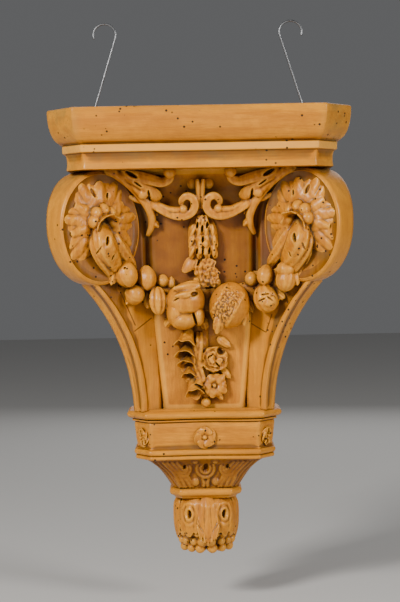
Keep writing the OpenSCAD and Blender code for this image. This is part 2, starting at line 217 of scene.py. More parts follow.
def joined(skins):
    """Several skins as one list of vertices and faces."""
    verts, faces, at = [], [], 0
    for v, groups in skins:
        verts.append(v)
        faces += [g + at for g in groups]
        at += len(v)
    return np.concatenate(verts), faces


def smooth_through(values, t):
    """Catmull-Rom curve through the values, at the shares t from 0 to 1."""
    p = np.asarray(values, float)
    p = p[:, None] if p.ndim == 1 else p
    n = len(p) - 1
    p = np.concatenate([2 * p[:1] - p[1:2], p, 2 * p[-1:] - p[-2:-1]])
    i = np.minimum((np.asarray(t) * n).astype(int), n - 1)
    f = (np.asarray(t) * n - i)[:, None]
    a, b, c, d = p[i], p[i + 1], p[i + 2], p[i + 3]
    return 0.5 * (2 * b + (c - a) * f + (2 * a - 5 * b + 4 * c - d) * f**2 + (3 * b - a - 3 * c + d) * f**3)


def unit(v):
    """The vectors at length one."""
    return v / np.maximum(np.linalg.norm(v, axis=-1, keepdims=True), 1e-9)


def ends_round(t, power=0.5):
    """A width that rises from nothing and falls to nothing, as the sides of an oval do."""
    return np.clip(1 - (2 * t - 1) ** 2, 0, 1) ** power


def limb(path, wide, tall, up=OUT, relief=None, rows=36, cols=28):
    """A limb along a curve through the path's points. Each section is an oval, half as wide
    as wide(t) across and tall(t) out along up, times 1 + relief(t, angle)."""
    t = np.linspace(0, 1, rows)
    spine = smooth_through(path, t)
    run = unit(np.gradient(spine, axis=0))
    side = unit(np.cross(run, np.broadcast_to(up, run.shape)))
    lift = np.cross(side, run)
    w = wide(t) if callable(wide) else smooth_through(wide, t)[:, 0]
    h = tall(t) if callable(tall) else smooth_through(tall, t)[:, 0]
    angle = np.linspace(0, 2 * np.pi, cols, endpoint=False)
    swell = 1 + (relief(t[:, None], angle[None]) if relief else np.zeros((rows, cols)))
    across = np.maximum(w, 0.05)[:, None] * np.cos(angle) * swell
    out = np.maximum(h, 0.05)[:, None] * np.sin(angle) * swell
    return closed_skin(spine[:, None] + side[:, None] * across[..., None] + lift[:, None] * out[..., None])


def ball(centre, radii, axis=(0, 0, 1), up=OUT, relief=None, rows=26, cols=32):
    """A ball or egg: radii across, out and along its axis, times 1 + relief(share, angle)."""
    a, b, c = np.broadcast_to(radii, 3)
    axis = unit(np.asarray(axis, float))
    share = 0.5 - 0.5 * np.cos(np.linspace(0.02, 0.98, rows) * np.pi)
    angle = np.linspace(0, 2 * np.pi, cols, endpoint=False)
    ring = np.sqrt(np.clip(1 - (2 * share - 1) ** 2, 0, 1))[:, None]
    side = unit(np.cross(axis, up))
    lift = np.cross(side, axis)
    swell = 1 + (relief(share[:, None], angle[None]) if relief else np.zeros((rows, cols)))
    p = (side * (a * ring * np.cos(angle) * swell)[..., None]
         + lift * (b * ring * np.sin(angle) * swell)[..., None]
         + axis * (c * (2 * share - 1)[:, None] * swell)[..., None])
    return closed_skin(np.asarray(centre, float) + p)


# %% [markdown]
# ## Waviness
# Nothing that a chisel and a few centuries have shaped is dead straight. A sum of sine waves
# with random directions gives a smooth unevenness that can be asked for at any point at once.

# %% Smooth unevenness and cuts
def waves(points, size, seed=1, count=7):
    """Smooth noise from -1 to 1: the mean of sines of random direction, whose lengths lie
    round the given size in millimetres."""
    r = np.random.default_rng(seed)
    total = 0
    for _ in range(count):
        k = unit(r.normal(size=3)) * 2 * np.pi / (size * r.uniform(0.7, 1.5))
        total = total + np.sin(points @ k + r.uniform(0, 6.28))
    return total / math.sqrt(count * 2)


def drill(points, at, radius, depth, along=-OUT, long=None, stretch=1.0):
    """Pushes the points near a place inwards: by depth times one minus the fourth power of
    their share of the radius. long is a direction in which the hole is stretched."""
    d = points - np.asarray(at, float)
    flat = d - (d @ along)[:, None] * along
    if long is not None:
        long = unit(np.asarray(long, float))
        flat = flat - ((flat @ long) * (1 - 1 / stretch))[:, None] * long
    near = np.abs(d @ along) < 14
    share = np.clip(np.linalg.norm(flat, axis=1) / radius, 0, 1)
    return points + (near * depth * (1 - share**4))[:, None] * along


def bite(points, centre, radius):
    """A chip: the points inside a ball are moved out to its surface."""
    d = points - np.asarray(centre, float)
    far = np.linalg.norm(d, axis=1, keepdims=True)
    return np.where(far < radius, centre + d / np.maximum(far, 1e-6) * radius, points)


print("waves reach", round(float(np.abs(waves(rng.uniform(-99, 99, (999, 3)), 30)).max()), 2))

# %% [markdown]
# ## From skins to one carved piece
# A carving is one piece of wood, so a leaf and the fruit that it touches share one skin.
# Booleans on dozens of leaves are slow and break easily. A voxel remesh takes any heap of
# closed forms and gives the one skin round them all, and a little smoothing afterwards takes
# the steps out, as sandpaper would.

# %% Meshes and remeshing
def mesh_object(name, verts, faces):
    """A mesh object at the origin, in metres, from vertices in millimetres."""
    mesh = bpy.data.meshes.new(name)
    mesh.from_pydata((verts * MM).tolist(), [], [f for g in faces for f in g.tolist()])
    mesh.validate()
    outward = bmesh.new()
    outward.from_mesh(mesh)
    bmesh.ops.recalc_face_normals(outward, faces=outward.faces)
    outward.to_mesh(mesh)
    outward.free()
    obj = bpy.data.objects.new(name, mesh)
    bpy.context.scene.collection.objects.link(obj)
    return obj


def coords(mesh):
    """The mesh's vertices in millimetres, as one array."""
    co = np.empty(len(mesh.vertices) * 3)
    mesh.vertices.foreach_get("co", co)
    return co.reshape(-1, 3) / MM


def set_coords(mesh, points):
    """Writes the vertices back."""
    mesh.vertices.foreach_set("co", (points * MM).ravel())
    mesh.update()


def edge_ends(mesh):
    """The two vertices of every edge."""
    ends = np.empty(len(mesh.edges) * 2, int)
    mesh.edges.foreach_get("vertices", ends)
    return ends.reshape(-1, 2)


def neighbour_mean(points, ends):
    """For each vertex, the mean of the vertices that an edge joins it to."""
    n = len(points)
    count = np.bincount(ends.ravel(), minlength=n)[:, None]
    total = np.stack([np.bincount(ends[:, 0], points[ends[:, 1], k], n)
                      + np.bincount(ends[:, 1], points[ends[:, 0], k], n)
                      for k in range(points.shape[1])], 1)
    return total / np.maximum(count, 1)


def sand(mesh, passes=2):
    """Smooths without shrinking: each pass moves vertices half way to their neighbours'
    mean, and then almost as far back out."""
    points, ends = coords(mesh), edge_ends(mesh)
    for _ in range(passes):
        for step in (0.5, -0.53):
            points = points + step * (neighbour_mean(points, ends) - points)
    set_coords(mesh, points)


def applied(obj):
    """Replaces the mesh by what its modifiers make of it."""
    made = bpy.data.meshes.new_from_object(obj.evaluated_get(bpy.context.evaluated_depsgraph_get()))
    obj.modifiers.clear()
    obj.data = made
    return obj


def one_skin(name, skins, voxel=0.9, passes=2, rework=None):
    """The one skin round a heap of closed forms: voxel remesh, rework, and sanding."""
    obj = mesh_object(name, *joined(skins))
    remesh = obj.modifiers.new("one skin", "REMESH")
    remesh.mode = "VOXEL"
    remesh.voxel_size = voxel * MM
    applied(obj)
    sand(obj.data, passes)
    if rework:
        set_coords(obj.data, rework(coords(obj.data)))
        sand(obj.data, 1)
    return obj


def finish_piece(obj, slot, *nodes):
    """Keeps the piece inside the solids' box, shades it smooth between its arrises, measures the
    relief (how far each vertex stands out of its smoothed surroundings, in millimetres), attaches
    it to the root body and hides the frame's solids that it stands for."""
    limits = np.array(cad_low) / MM, np.array(cad_high) / MM
    set_coords(obj.data, np.clip(coords(obj.data), *limits))
    mesh = obj.data
    mesh.polygons.foreach_set("use_smooth", np.ones(len(mesh.polygons), bool))
    if max(len(face.vertices) for face in mesh.polygons) > 4:
        mesh.set_sharp_from_angle(angle=ARRIS)
    points, ends = coords(mesh), edge_ends(mesh)
    soft = points
    for _ in range(12):
        soft = 0.4 * soft + 0.6 * neighbour_mean(soft, ends)
    normal = np.empty(len(points) * 3, np.float32)
    mesh.vertices.foreach_get("normal", normal)
    relief = ((points - soft) * normal.reshape(-1, 3)).sum(1)
    layer = mesh.attributes.new("relief", "FLOAT", "POINT")
    layer.data.foreach_set("value", relief.astype(np.float32))
    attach(obj, "root")
    if nodes:
        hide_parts(*nodes)
    print(obj.name, len(mesh.polygons), "faces")


def finish_wood(obj):
    """Finishes a piece of the carving, which is one node of waxed wood in the frame."""
    finish_piece(obj, "waxed_wood", "carved_corbel")


# %% [markdown]
# ## The moulded shelf
# A rounded moulding over a square fillet and a hollowed band, run round the front and the
# canted corners. It could be five planed strips with mitres, but a profile carried round the
# plan gives the same surface, with soft worn arrises at the mitres. The two notches at the
# wall are cut last, with a boolean, because they are the only square holes in it.

# %% Moulding: a profile round the canted plan
def canted_ring(front, outer, depth, inset, steps, soft=1.5):
    """The plan at one height: from the wall round the two canted corners and back to the
    wall, drawn in by inset, with corners rounded as the square of the share past them."""
    f, o, d = front - inset * math.tan(CANT / 2), outer - inset, depth - inset
    c = d - (o - f) * math.tan(CANT)
    corners = np.array([[o, 0], [o, c], [f, d], [-f, d], [-o, c], [-o, 0]])
    ring = [corners[0]]
    for a, b, e in zip(corners, corners[1:], corners[2:]):
        before, after = b + unit(a - b) * soft, b + unit(e - b) * soft
        ring += [before, 0.25 * before + 0.5 * b + 0.25 * after, after]
    ring += [corners[-1], corners[0]]
    return np.array([mix(a, b, k / n) for a, b, n in zip(ring, ring[1:], steps) for k in range(n)])


def plan_steps(front, outer, depth, pitch):
    """How many pieces each stretch of the plan is cut into, for points a pitch apart."""
    cant = math.hypot(outer - front, (outer - front) * math.tan(CANT))
    side = depth - (outer - front) * math.tan(CANT)
    count = [max(2, round(length / pitch)) for length in (side, cant, 2 * front, 2 * outer)]
    return [count[0], 1, 1, count[1], 1, 1, count[2], 1, 1, count[1], 1, 1, count[0], count[3]]


def close_set(profile, pitch):
    """The profile with points added, so that none is further than a pitch from the next."""
    p = np.array(profile, float)
    full = [mix(a, b, k / n) for a, b in zip(p, p[1:])
            for n in [max(1, math.ceil(np.linalg.norm(b - a) / pitch))] for k in range(n)]
    return np.array(full + [p[-1]])


def moulding(profile, front, outer, depth, wavy=0.3, pitch=2.4):
    """A closed moulding from pairs of height and inset, from the top down, made uneven."""
    steps = plan_steps(front, outer, depth, pitch)
    rings = []
    for z, inset in close_set(profile, pitch):
        plan = canted_ring(front, outer, depth, inset, steps)
        rings.append(np.column_stack([plan[:, 0], -plan[:, 1], np.full(len(plan), z)]))
    verts, faces = closed_skin(np.array(rings))
    standing_out = np.clip(-verts[:, 1] / 10, 0, 1) * wavy
    verts[:, 1] += standing_out * (waves(verts, 70, 3) * 0.5 + 0.5)
    verts[:, 2] += standing_out * 0.7 * waves(verts * [1, 1, 0.01], 90, 4)
    return verts, faces


def arc(z0, z1, in0, in1, start, end, steps):
    """Part of a rounded or hollowed moulding: heights follow the sine and insets the cosine
    of an angle that runs from start to end, in degrees."""
    a = np.radians(np.linspace(start, end, steps))
    first, last = math.radians(start), math.radians(end)
    u = (np.sin(a) - math.sin(first)) / (math.sin(last) - math.sin(first))
    w = (np.cos(a) - math.cos(first)) / (math.cos(last) - math.cos(first))
    return list(zip(mix(z0, z1, u), mix(in0, in1, w)))


def shelf_profile():
    """Ovolo, quirk, fillet and one hollowed band, as height and inset from the top down."""
    t = TOP_Z
    top = [(t, 2.2), (t - 0.5, 0.8), (t - 1.6, 0.1)]
    ovolo = arc(t - 2.2, t - 37, 0, 14, 0, 88, 26)
    quirk = [(t - 38, 15.2), (t - 38.6, 17), (t - 39.2, 16.2), (t - 40, 15.6)]
    fillet = [(t - 44, 15.7), (t - 47, 15.9), (t - 47.8, 16.6)]
    hollow = [(t - 48.4, 19), (t - 51, 20), (t - 55, 20.6), (t - 59, 20.8), (t - 62.5, 20.5), (t - 65, 20)]
    return top + ovolo + quirk + fillet + hollow + [(t - 66, 20.2)]


SHELF_FRONT, SHELF_OUTER = 137, 167
shelf = mesh_object("moulded_shelf", *moulding(shelf_profile(), SHELF_FRONT, SHELF_OUTER, SHELF_DEPTH))
points = coords(shelf.data)
points = bite(points, np.array([170.0, -108.0, 257.0]), 9.0)
points = bite(points, np.array([-169.0, -60.0, 256.5]), 4.6)
set_coords(shelf.data, points)

# %% Notches for the hooks
HOOK_X, NOTCH = 108, (36, 20, 15)


def box_skin(low, high):
    """A plain box between two corners."""
    (x0, y0, z0), (x1, y1, z1) = low, high
    ring = np.array([[x0, y0], [x1, y0], [x1, y1], [x0, y1]])
    return closed_skin(np.stack([np.column_stack([ring, np.full(4, z)]) for z in (z0, z1)]))


def cut(obj, skins):
    """Cuts closed skins out of a piece."""
    cutter = mesh_object("cutter", *joined(skins))
    tool = obj.modifiers.new("cut", "BOOLEAN")
    tool.operation, tool.solver, tool.object = "DIFFERENCE", "EXACT", cutter
    applied(obj)
    bpy.data.objects.remove(cutter)


cut(shelf, [box_skin((side * HOOK_X - NOTCH[0] / 2, -NOTCH[1], TOP_Z - NOTCH[2]),
                     (side * HOOK_X + NOTCH[0] / 2, 2, TOP_Z + 2)) for side in (-1, 1)])
finish_wood(shelf)

# %% [markdown]
# ## Body and recessed panel
# Behind the carving is the block itself: its front is the hollow panel, its sides follow the
# consoles back to the wall. A narrow sunk channel separates the panel from each console.

# %% Body
def body_rings():
    """Rings of the block from the shelf down. Their front is the panel, which sinks in a
    bell curve next to each console; the rest runs behind the consoles to the wall."""
    heights = np.linspace(BODY_TOP + 2, FOOT_Z - 2, 150)
    rings = []
    for z in heights:
        w, p = float(band_w(z)), float(panel_v(z))
        s = float(outer_s(min(z, BODY_TOP - 2))) - 6 / math.cos(TURN)
        x = PANEL_HALF + s * math.cos(TURN) + w * math.sin(TURN)
        v = PANEL_FOOT_V + s * math.sin(TURN) - w * math.cos(TURN) + 4
        half = min(x - 2, PANEL_HALF + (p - PANEL_FOOT_V) / math.tan(TURN) + 6)
        front = np.linspace(half, -half, 90)
        edge = PANEL_HALF - 1 + (p - PANEL_FOOT_V) / math.tan(TURN)
        fade = min(1, max(0, (BODY_TOP - 20 - z) / 60))
        sunk = 9 * np.exp(-((np.abs(front) - edge + 2.5) / 3.2) ** 2) * fade
        face = np.column_stack([front, -(p - sunk)])
        side = np.linspace(0, 1, 16)[:, None]
        right = mix(np.array([x, 0.0]), np.array([x, -v]), side)
        slope = mix(np.array([x, -v]), np.array([half, -p]), np.linspace(0.1, 0.9, 6)[:, None])
        left = right[::-1] * [-1, 1]
        back = np.column_stack([np.linspace(-x, x, 40)[1:-1], np.zeros(38)])
        plan = np.concatenate([right, slope, face, slope[::-1] * [-1, 1], left, back])
        rings.append(np.column_stack([plan, np.full(len(plan), z)]))
    return np.array(rings)


verts, faces = closed_skin(body_rings())
front = np.clip(-verts[:, 1] / 20 - 1, 0, 1)
verts[:, 1] += front * 0.45 * waves(verts, 48, 11)
finish_wood(mesh_object("body_block", verts, faces))


# %% [markdown]
# ## Consoles and volutes
# Each console is a plank's thickness of wood turned 55 degrees from the front. Its edge shows
# as a sunk band between two thin borders, and it ends above in an oval drum with a fine
# raised line round its face.

# %% Console stems
def band_section(w, raised=1.5, border=4.0):
    """The outer band's section, from the face's border round to the back: pairs of how far
    it is sunk and n, sunk between its two borders."""
    return [(0.9, raised), (0.25, raised - 0.3), (0, raised - 1), (0, raised - border),
            (1.1, raised - border - 0.8), (1.3, -w * 0.5), (1.1, -w + border + 0.8), (0, -w + border),
            (0, -w)]


def console_stem(side):
    """The console below its volute, as sections from the top down."""
    rings = []
    for z in np.linspace(VOLUTE_Z - VOLUTE_B * 0.8, FOOT_Z - 1, 110):
        s1, w = float(sweep_s(z)), float(band_w(z))
        face = [(-4, 0), (0, 0), (s1 * 0.35, 0), (s1 - 8.5, 0), (s1 - 7.2, 0.3), (s1 - 6.4, 1.2),
                (s1 - 5, 1.5)]
        band = [(s1 - sunk, n) for sunk, n in band_section(w)]
        section = np.array(face + band + [(s1 * 0.5, -w), (-4, -w)])
        rings.append(console_point(side, section[:, 0], section[:, 1], z))
    verts, faces = closed_skin(np.array(rings))
    verts += 0.25 * waves(verts, 25, 21)[:, None] * console_axes(side)[1]
    return verts, faces


def volute(side):
    """The oval drum: rings of the oval scaled by k, at distances n from the console's face.
    The right one was carved a little narrower."""
    wide = VOLUTE_A if side < 0 else VOLUTE_A - 2.5
    a = np.linspace(0, 2 * np.pi, 160, endpoint=False)
    z1 = VOLUTE_Z + VOLUTE_B * np.sin(a)
    back = -roll_at(z1)
    p = VOLUTE_PROUD
    sides = [(0.99, back), (1, back + 4), (1.004, (back + p) / 2), (1, p - 6 + 0 * a),
             (0.988, p - 2.6 + 0 * a)]
    face = [(0.97, p - 1.3), (0.95, p - 0.9), (0.942, p - 0.1), (0.934, p), (0.926, p - 0.3),
            (0.918, p - 1.0), (0.8, p - 1.1), (0.5, p - 1.1), (0.2, p - 1.1)]
    rings = [console_point(side, VOLUTE_S + wide * 0.2 * np.cos(a), -22.0,
                           VOLUTE_Z + VOLUTE_B * 0.2 * np.sin(a))]
    for k, n in sides + face:
        rings.append(console_point(side, VOLUTE_S + wide * k * np.cos(a), n,
                                   VOLUTE_Z + VOLUTE_B * k * np.sin(a)))
    verts, faces = closed_skin(np.array(rings))
    verts += 0.3 * waves(verts, 30, 22)[:, None] * console_axes(side)[1]
    return verts, faces


for name, side in (("left", -1), ("right", 1)):
    finish_wood(mesh_object("console_" + name, *console_stem(side)))
    finish_wood(mesh_object("volute_" + name, *volute(side)))

# %% [markdown]
# ## The panelled foot
# The same moulding function makes the foot: a torus, a sunk fillet, a tapering band and a
# small moulding below. The bell under it is hollow in profile, so its plan shrinks quickly at
# first and slowly further down.

# %% Foot mouldings
BASE_FRONT, BASE_OUTER, BASE_DEPTH = 63, 81, 80
NECK_PLAN = (28, 38, 46)             # half of the front, half of the width, and depth
TORUS_H, BASE_H, LOWER_H, BELL_H, NECK_H, FINIAL_H = 16, 29, 12, 36, 11, 67
BAND_Z = FOOT_Z - TORUS_H
MOULD_Z = BAND_Z - BASE_H
BELL_Z = MOULD_Z - LOWER_H
NECK_Z = BELL_Z - BELL_H
FINIAL_Z = NECK_Z - NECK_H


def rounded(z0, z1, inset, bulge, steps=12):
    """A half round that bulges out by bulge between two heights."""
    a = np.linspace(0, np.pi, steps)
    return list(zip(mix(z0, z1, 0.5 - 0.5 * np.cos(a)), inset - bulge * np.sin(a)))


def foot_profile():
    """Torus, thin bead, sunk fillet, panelled band and lower moulding."""
    torus = [(FOOT_Z + 1, 5), (FOOT_Z - 0.5, 1.5)] + rounded(FOOT_Z - 1, FOOT_Z - 10, -1, 6.2)
    bead = [(FOOT_Z - 10.4, 0.6)] + rounded(FOOT_Z - 10.8, FOOT_Z - 13.2, 0.2, 1.8, 7)
    band = [(BAND_Z + 2.2, 2.2), (BAND_Z + 1, 1.4), (BAND_Z - 2, 1.2), (mix(BAND_Z, MOULD_Z, 0.5), 2.6),
            (MOULD_Z + 2, 4.2)]
    lower = [(MOULD_Z + 1, 3.2)] + rounded(MOULD_Z, MOULD_Z - 6.5, 3, 2.6, 9)
    base = [(MOULD_Z - 7, 3.6)] + rounded(MOULD_Z - 7.4, BELL_Z + 0.4, 3.2, 1.4, 7) + [(BELL_Z, 8)]
    return torus + bead + band + lower + base


foot = mesh_object("foot_mouldings", *moulding(foot_profile(), BASE_FRONT, BASE_OUTER, BASE_DEPTH, 0.6, 1.9))
finish_wood(foot)

bead_profile = ([(NECK_Z + 1.5, 3)] + rounded(NECK_Z, NECK_Z - 9, 0, 3.6)
                + [(NECK_Z - 10, 1.5), (NECK_Z - 12, 3)])
bead = mesh_object("neck_bead", *moulding(bead_profile, *NECK_PLAN, 0.5, 1.6))
finish_wood(bead)

# %% [markdown]
# ## Leaves and bells
# Two forms serve the whole bracket. A leaf is a thick sheet with two parameters, the share
# along it and the share across: scallops cut its tip into lobes, and a rib runs down each
# lobe. A bell flower is a cup turned about an axis, whose wall comes back up inside, so that
# its mouth is really open. Both are closed forms, so the voxel remesh can weld them.

# %% Leaf, bell flower and blossom
def leaf(start, end, width, up, rise=4.0, curl=0.0, lobes=3, cut=0.18, rib=1.0, thick=3.0, waist=0.45,
         fold=0.5, rows=24, cols=31):
    """A carved leaf. Across it runs u from -1 to 1, along it t from 0 to 1. The cosine of u
    makes the lobes: it shortens the leaf by cut and sinks it by rib between them. The leaf
    rises by a half sine of t, its tip by curl, and its edges fall by the square of u."""
    start, end, up = (np.asarray(a, float) for a in (start, end, up))
    length = np.linalg.norm(end - start)
    run = (end - start) / length
    side = unit(np.cross(run, up))
    lift = np.cross(side, run)
    t, u = np.linspace(0, 1, rows)[:, None], np.linspace(-1, 1, cols)[None]
    lobe = np.abs(np.cos(lobes * np.pi * u / 2)) ** 0.55
    reach = t * (np.sqrt(np.clip(1 - (0.82 * u) ** 2, 0, 1)) - cut * (1 - lobe) * t)
    wide = width * (waist + (1 - waist) * np.sin(np.pi / 2 * np.clip(t * 1.35, 0, 1)))
    high = rise * np.sin(np.pi * np.clip(t, 0, 1) ** 0.8) - fold * rise * u**2 + curl * t**3
    high = high - rib * (1 - lobe) * np.sqrt(t)
    top = start + run * (length * reach)[..., None] + side * (wide * u)[..., None] + lift * high[..., None]
    under = top - lift * thick - side * (wide * u * 0.06)[..., None]
    return closed_skin(np.concatenate([top, under[:, ::-1]], axis=1))


def bell_flower(top, rim, radius, petals=5, flare=1.0, turn=0.0):
    """A cup from its stalk to its rim. Pairs give the share along the axis and of the radius,
    down the outside and back up the inside; the cosine of the angle scallops them."""
    top, rim = np.asarray(top, float), np.asarray(rim, float)
    axis = unit(rim - top)
    side = unit(np.cross(axis, OUT + [0.01, 0, 0.02]))
    lift = np.cross(side, axis)
    a = np.linspace(0, 2 * np.pi, 40, endpoint=False)
    walls = [(0, 0.18), (0.08, 0.36), (0.3, 0.52), (0.6, 0.66), (0.85, 0.84), (0.97, 1.0 * flare),
             (1.0, 1.02 * flare), (0.98, 0.9 * flare), (0.85, 0.68), (0.6, 0.5), (0.35, 0.3), (0.28, 0.05)]
    rings = []
    for t, r in walls:
        scallop = 1 + 0.10 * t * np.cos(petals * a + turn)
        along = t + 0.07 * t * np.cos(petals * a + turn)
        outward = side * np.cos(a)[:, None] + lift * np.sin(a)[:, None]
        rings.append(top + axis * (along * np.linalg.norm(rim - top))[:, None]
                     + outward * (radius * r * scallop)[:, None])
    return closed_skin(np.array(rings))


def blossom(centre, radius, petals, up, turn=0.0, rise=2.5, curl=1.5, boss=0.22, lobes=2, thick=2.2,
            uneven=0.0, twist=0.0):
    """An open flower: rounded petals in a ring round a boss, each tilted by twist, so that
    one edge of it lies over the next."""
    centre, up = np.asarray(centre, float), unit(np.asarray(up, float))
    east = unit(np.cross([0, 0, 1.0], up))
    north = np.cross(up, east)
    made = [ball(centre + up * (rise + 0.5), (radius * boss, radius * boss, radius * boss), up, east)]
    for k in range(petals):
        a = turn + 2 * np.pi * k / petals
        way = east * math.cos(a) + north * math.sin(a)
        far = radius * (1 + uneven * math.sin(5 * k + turn))
        tilted = up + twist * np.cross(up, way)
        made.append(leaf(centre + way * radius * 0.08, centre + way * far + up * (0.6 if k % 2 else 0),
                         radius * (2.9 + 1.4 * (twist > 0)) / petals, tilted, rise, curl, lobes, 0.13,
                         1.0, thick, 0.4, 0.35, 18, 25))
    return made


# %% [markdown]
# ## Rosettes, bells and husks
# Each volute carries a rosette of lobed leaves. Over it sits a bell with a scalloped lip, and
# out of the bell drops the husk that the garland hangs from.

# %% Rosettes
def oval_reach(side, s, z, angle, share):
    """How far it is from a place on the volute's face, at an angle, to a share of its oval."""
    wide = VOLUTE_A if side < 0 else VOLUTE_A - 2.5
    reach = np.linspace(5, 130, 600)
    inside = (((s + reach * math.cos(angle) - VOLUTE_S) / (wide * share)) ** 2
              + ((z + reach * math.sin(angle) - VOLUTE_Z) / (VOLUTE_B * share)) ** 2) < 1
    return reach[inside].max()


ROSETTE = ((5, 18, 3), (62, 19, 3), (118, 19, 3), (172, 18, 3), (222, 19, 3), (256, 16, 2), (312, 18, 3),
           (34, 12, 2), (92, 15, 2), (146, 14, 2), (340, 11, 2))


def rosette(side):
    """Broad lobed leaves round the bell: seven low ones, and four shorter ones over their
    joins. Each is as long as the way from there to the raised line."""
    out = console_axes(side)[1]
    s0, z0 = VOLUTE_S + 3, VOLUTE_Z + 6
    made = []
    for k, (degrees, width, lobes) in enumerate(ROSETTE):
        a = math.radians(degrees + (5 if side > 0 else 0))
        length = oval_reach(side, s0, z0, a, 0.93 if k < 7 else 0.72 + 0.06 * (k % 3))
        foot, n = 7.0, VOLUTE_PROUD - (1.5 if k < 7 else -0.6)
        start = console_point(side, s0 + foot * math.cos(a), n, z0 + foot * math.sin(a))
        end = console_point(side, s0 + length * math.cos(a), n, z0 + length * math.sin(a))
        made.append(leaf(start, end, width, out, 5.0, 0.4, lobes, 0.11, 1.15, 5.0, 0.40, 0.40, 36, 55))
    made.append(ball(console_point(side, s0, VOLUTE_PROUD - 2, z0), (19, 19, 5), out))
    return made


def calyx(side):
    """The bell: an open cup whose scalloped lip faces down and out, and a knob of lobes."""
    out = console_axes(side)[1]
    s0, z0, n = VOLUTE_S + 2, VOLUTE_Z + 3, VOLUTE_PROUD
    made = [bell_flower(console_point(side, s0 + 1, n - 1, z0 + 9),
                        console_point(side, s0 - 1, n + 18, z0 - 2), 15.5, 7, 1.0, 0.6)]
    for k in range(5):
        a = math.radians(-6 + 48 * k)
        made.append(ball(console_point(side, s0 + 12.0 * math.cos(a), n + 8, z0 + 5 + 11.0 * math.sin(a)),
                         (8.0, 6.6, 8.5), out))
    return made


def husk(side):
    """The husk, as three overlapping folded leaves with fine ridges along them."""
    out = console_axes(side)[1]

    def ridges(t, angle):
        front = np.clip(np.sin(angle) * 2, 0, 1)
        return 0.075 * np.cos(6 * angle + 2.5 * t) * front * np.sin(np.pi * t) ** 0.5

    runs = (((107, 125, 9), (107.5, 117, 20), (104.5, 103, 25), (97, 87, 16), (91, 76, 6), 13.5, 9.0),
            ((101, 124, 12), (95, 112, 19), (87, 98, 18), (79, 86, 11), (74, 79, 4), 7.5, 5.5),
            ((114, 120, 12), (116, 106, 17), (111, 92, 17), (103, 78, 10), (99, 68, 4), 7.5, 6.0))
    made = []
    for *path, width, height in runs:
        made.append(limb([on_ground(side * x, z, lift) for x, z, lift in path],
                         lambda t, w=width: w * ends_round(0.13 + t * 0.86, 0.62),
                         lambda t, h=height: h * ends_round(0.15 + t * 0.84, 0.6), out, ridges, 44, 44))
    return made


def rosette_rework(side):
    """The drilled eyes and slits, and the gap under the bell's lip."""
    out = console_axes(side)[1]

    def cuts(points):
        for x, z, lift, radius, depth, lean, stretch in (
                (102.5, 110, 32, 2.3, 9, -0.35, 2.6), (99, 92, 26, 1.0, 4, -0.5, 9),
                (112, 100, 28, 0.9, 3, -0.25, 10), (118, 163, 8, 2.4, 6, 0.45, 2.6),
                (104, 160, 8, 1.7, 5, -0.4, 2.2)):
            points = drill(points, on_ground(side * x, z, lift), radius, depth, -out,
                           (lean * side, 0, 1), stretch)
        return points + 0.28 * waves(points, 7, 51)[:, None] * out

    return cuts


for name, side in (("left", -1), ("right", 1)):
    piece = one_skin("rosette_" + name, rosette(side) + calyx(side) + husk(side), 0.92, 1,
                     rosette_rework(side))
    finish_wood(piece)

# %% [markdown]
# ## Leaf scrolls
# Under the shelf two C-scrolls curl up to a stem in the middle, with leaves and small knobs
# above them, and a long leaf follows the inner edge of each volute.

# %% Scrolls under the shelf
def ribbon(edge):
    """Relief of a ribbon: its two edges stand up as thin lines and its middle is dished."""
    return lambda t, angle: (edge * (np.exp(-((np.abs(np.cos(angle)) - 0.86) / 0.16) ** 2)
                                     - 1.3 * np.exp(-(np.cos(angle) / 0.5) ** 2))
                             * np.clip(np.sin(angle) * 3, 0, 1))


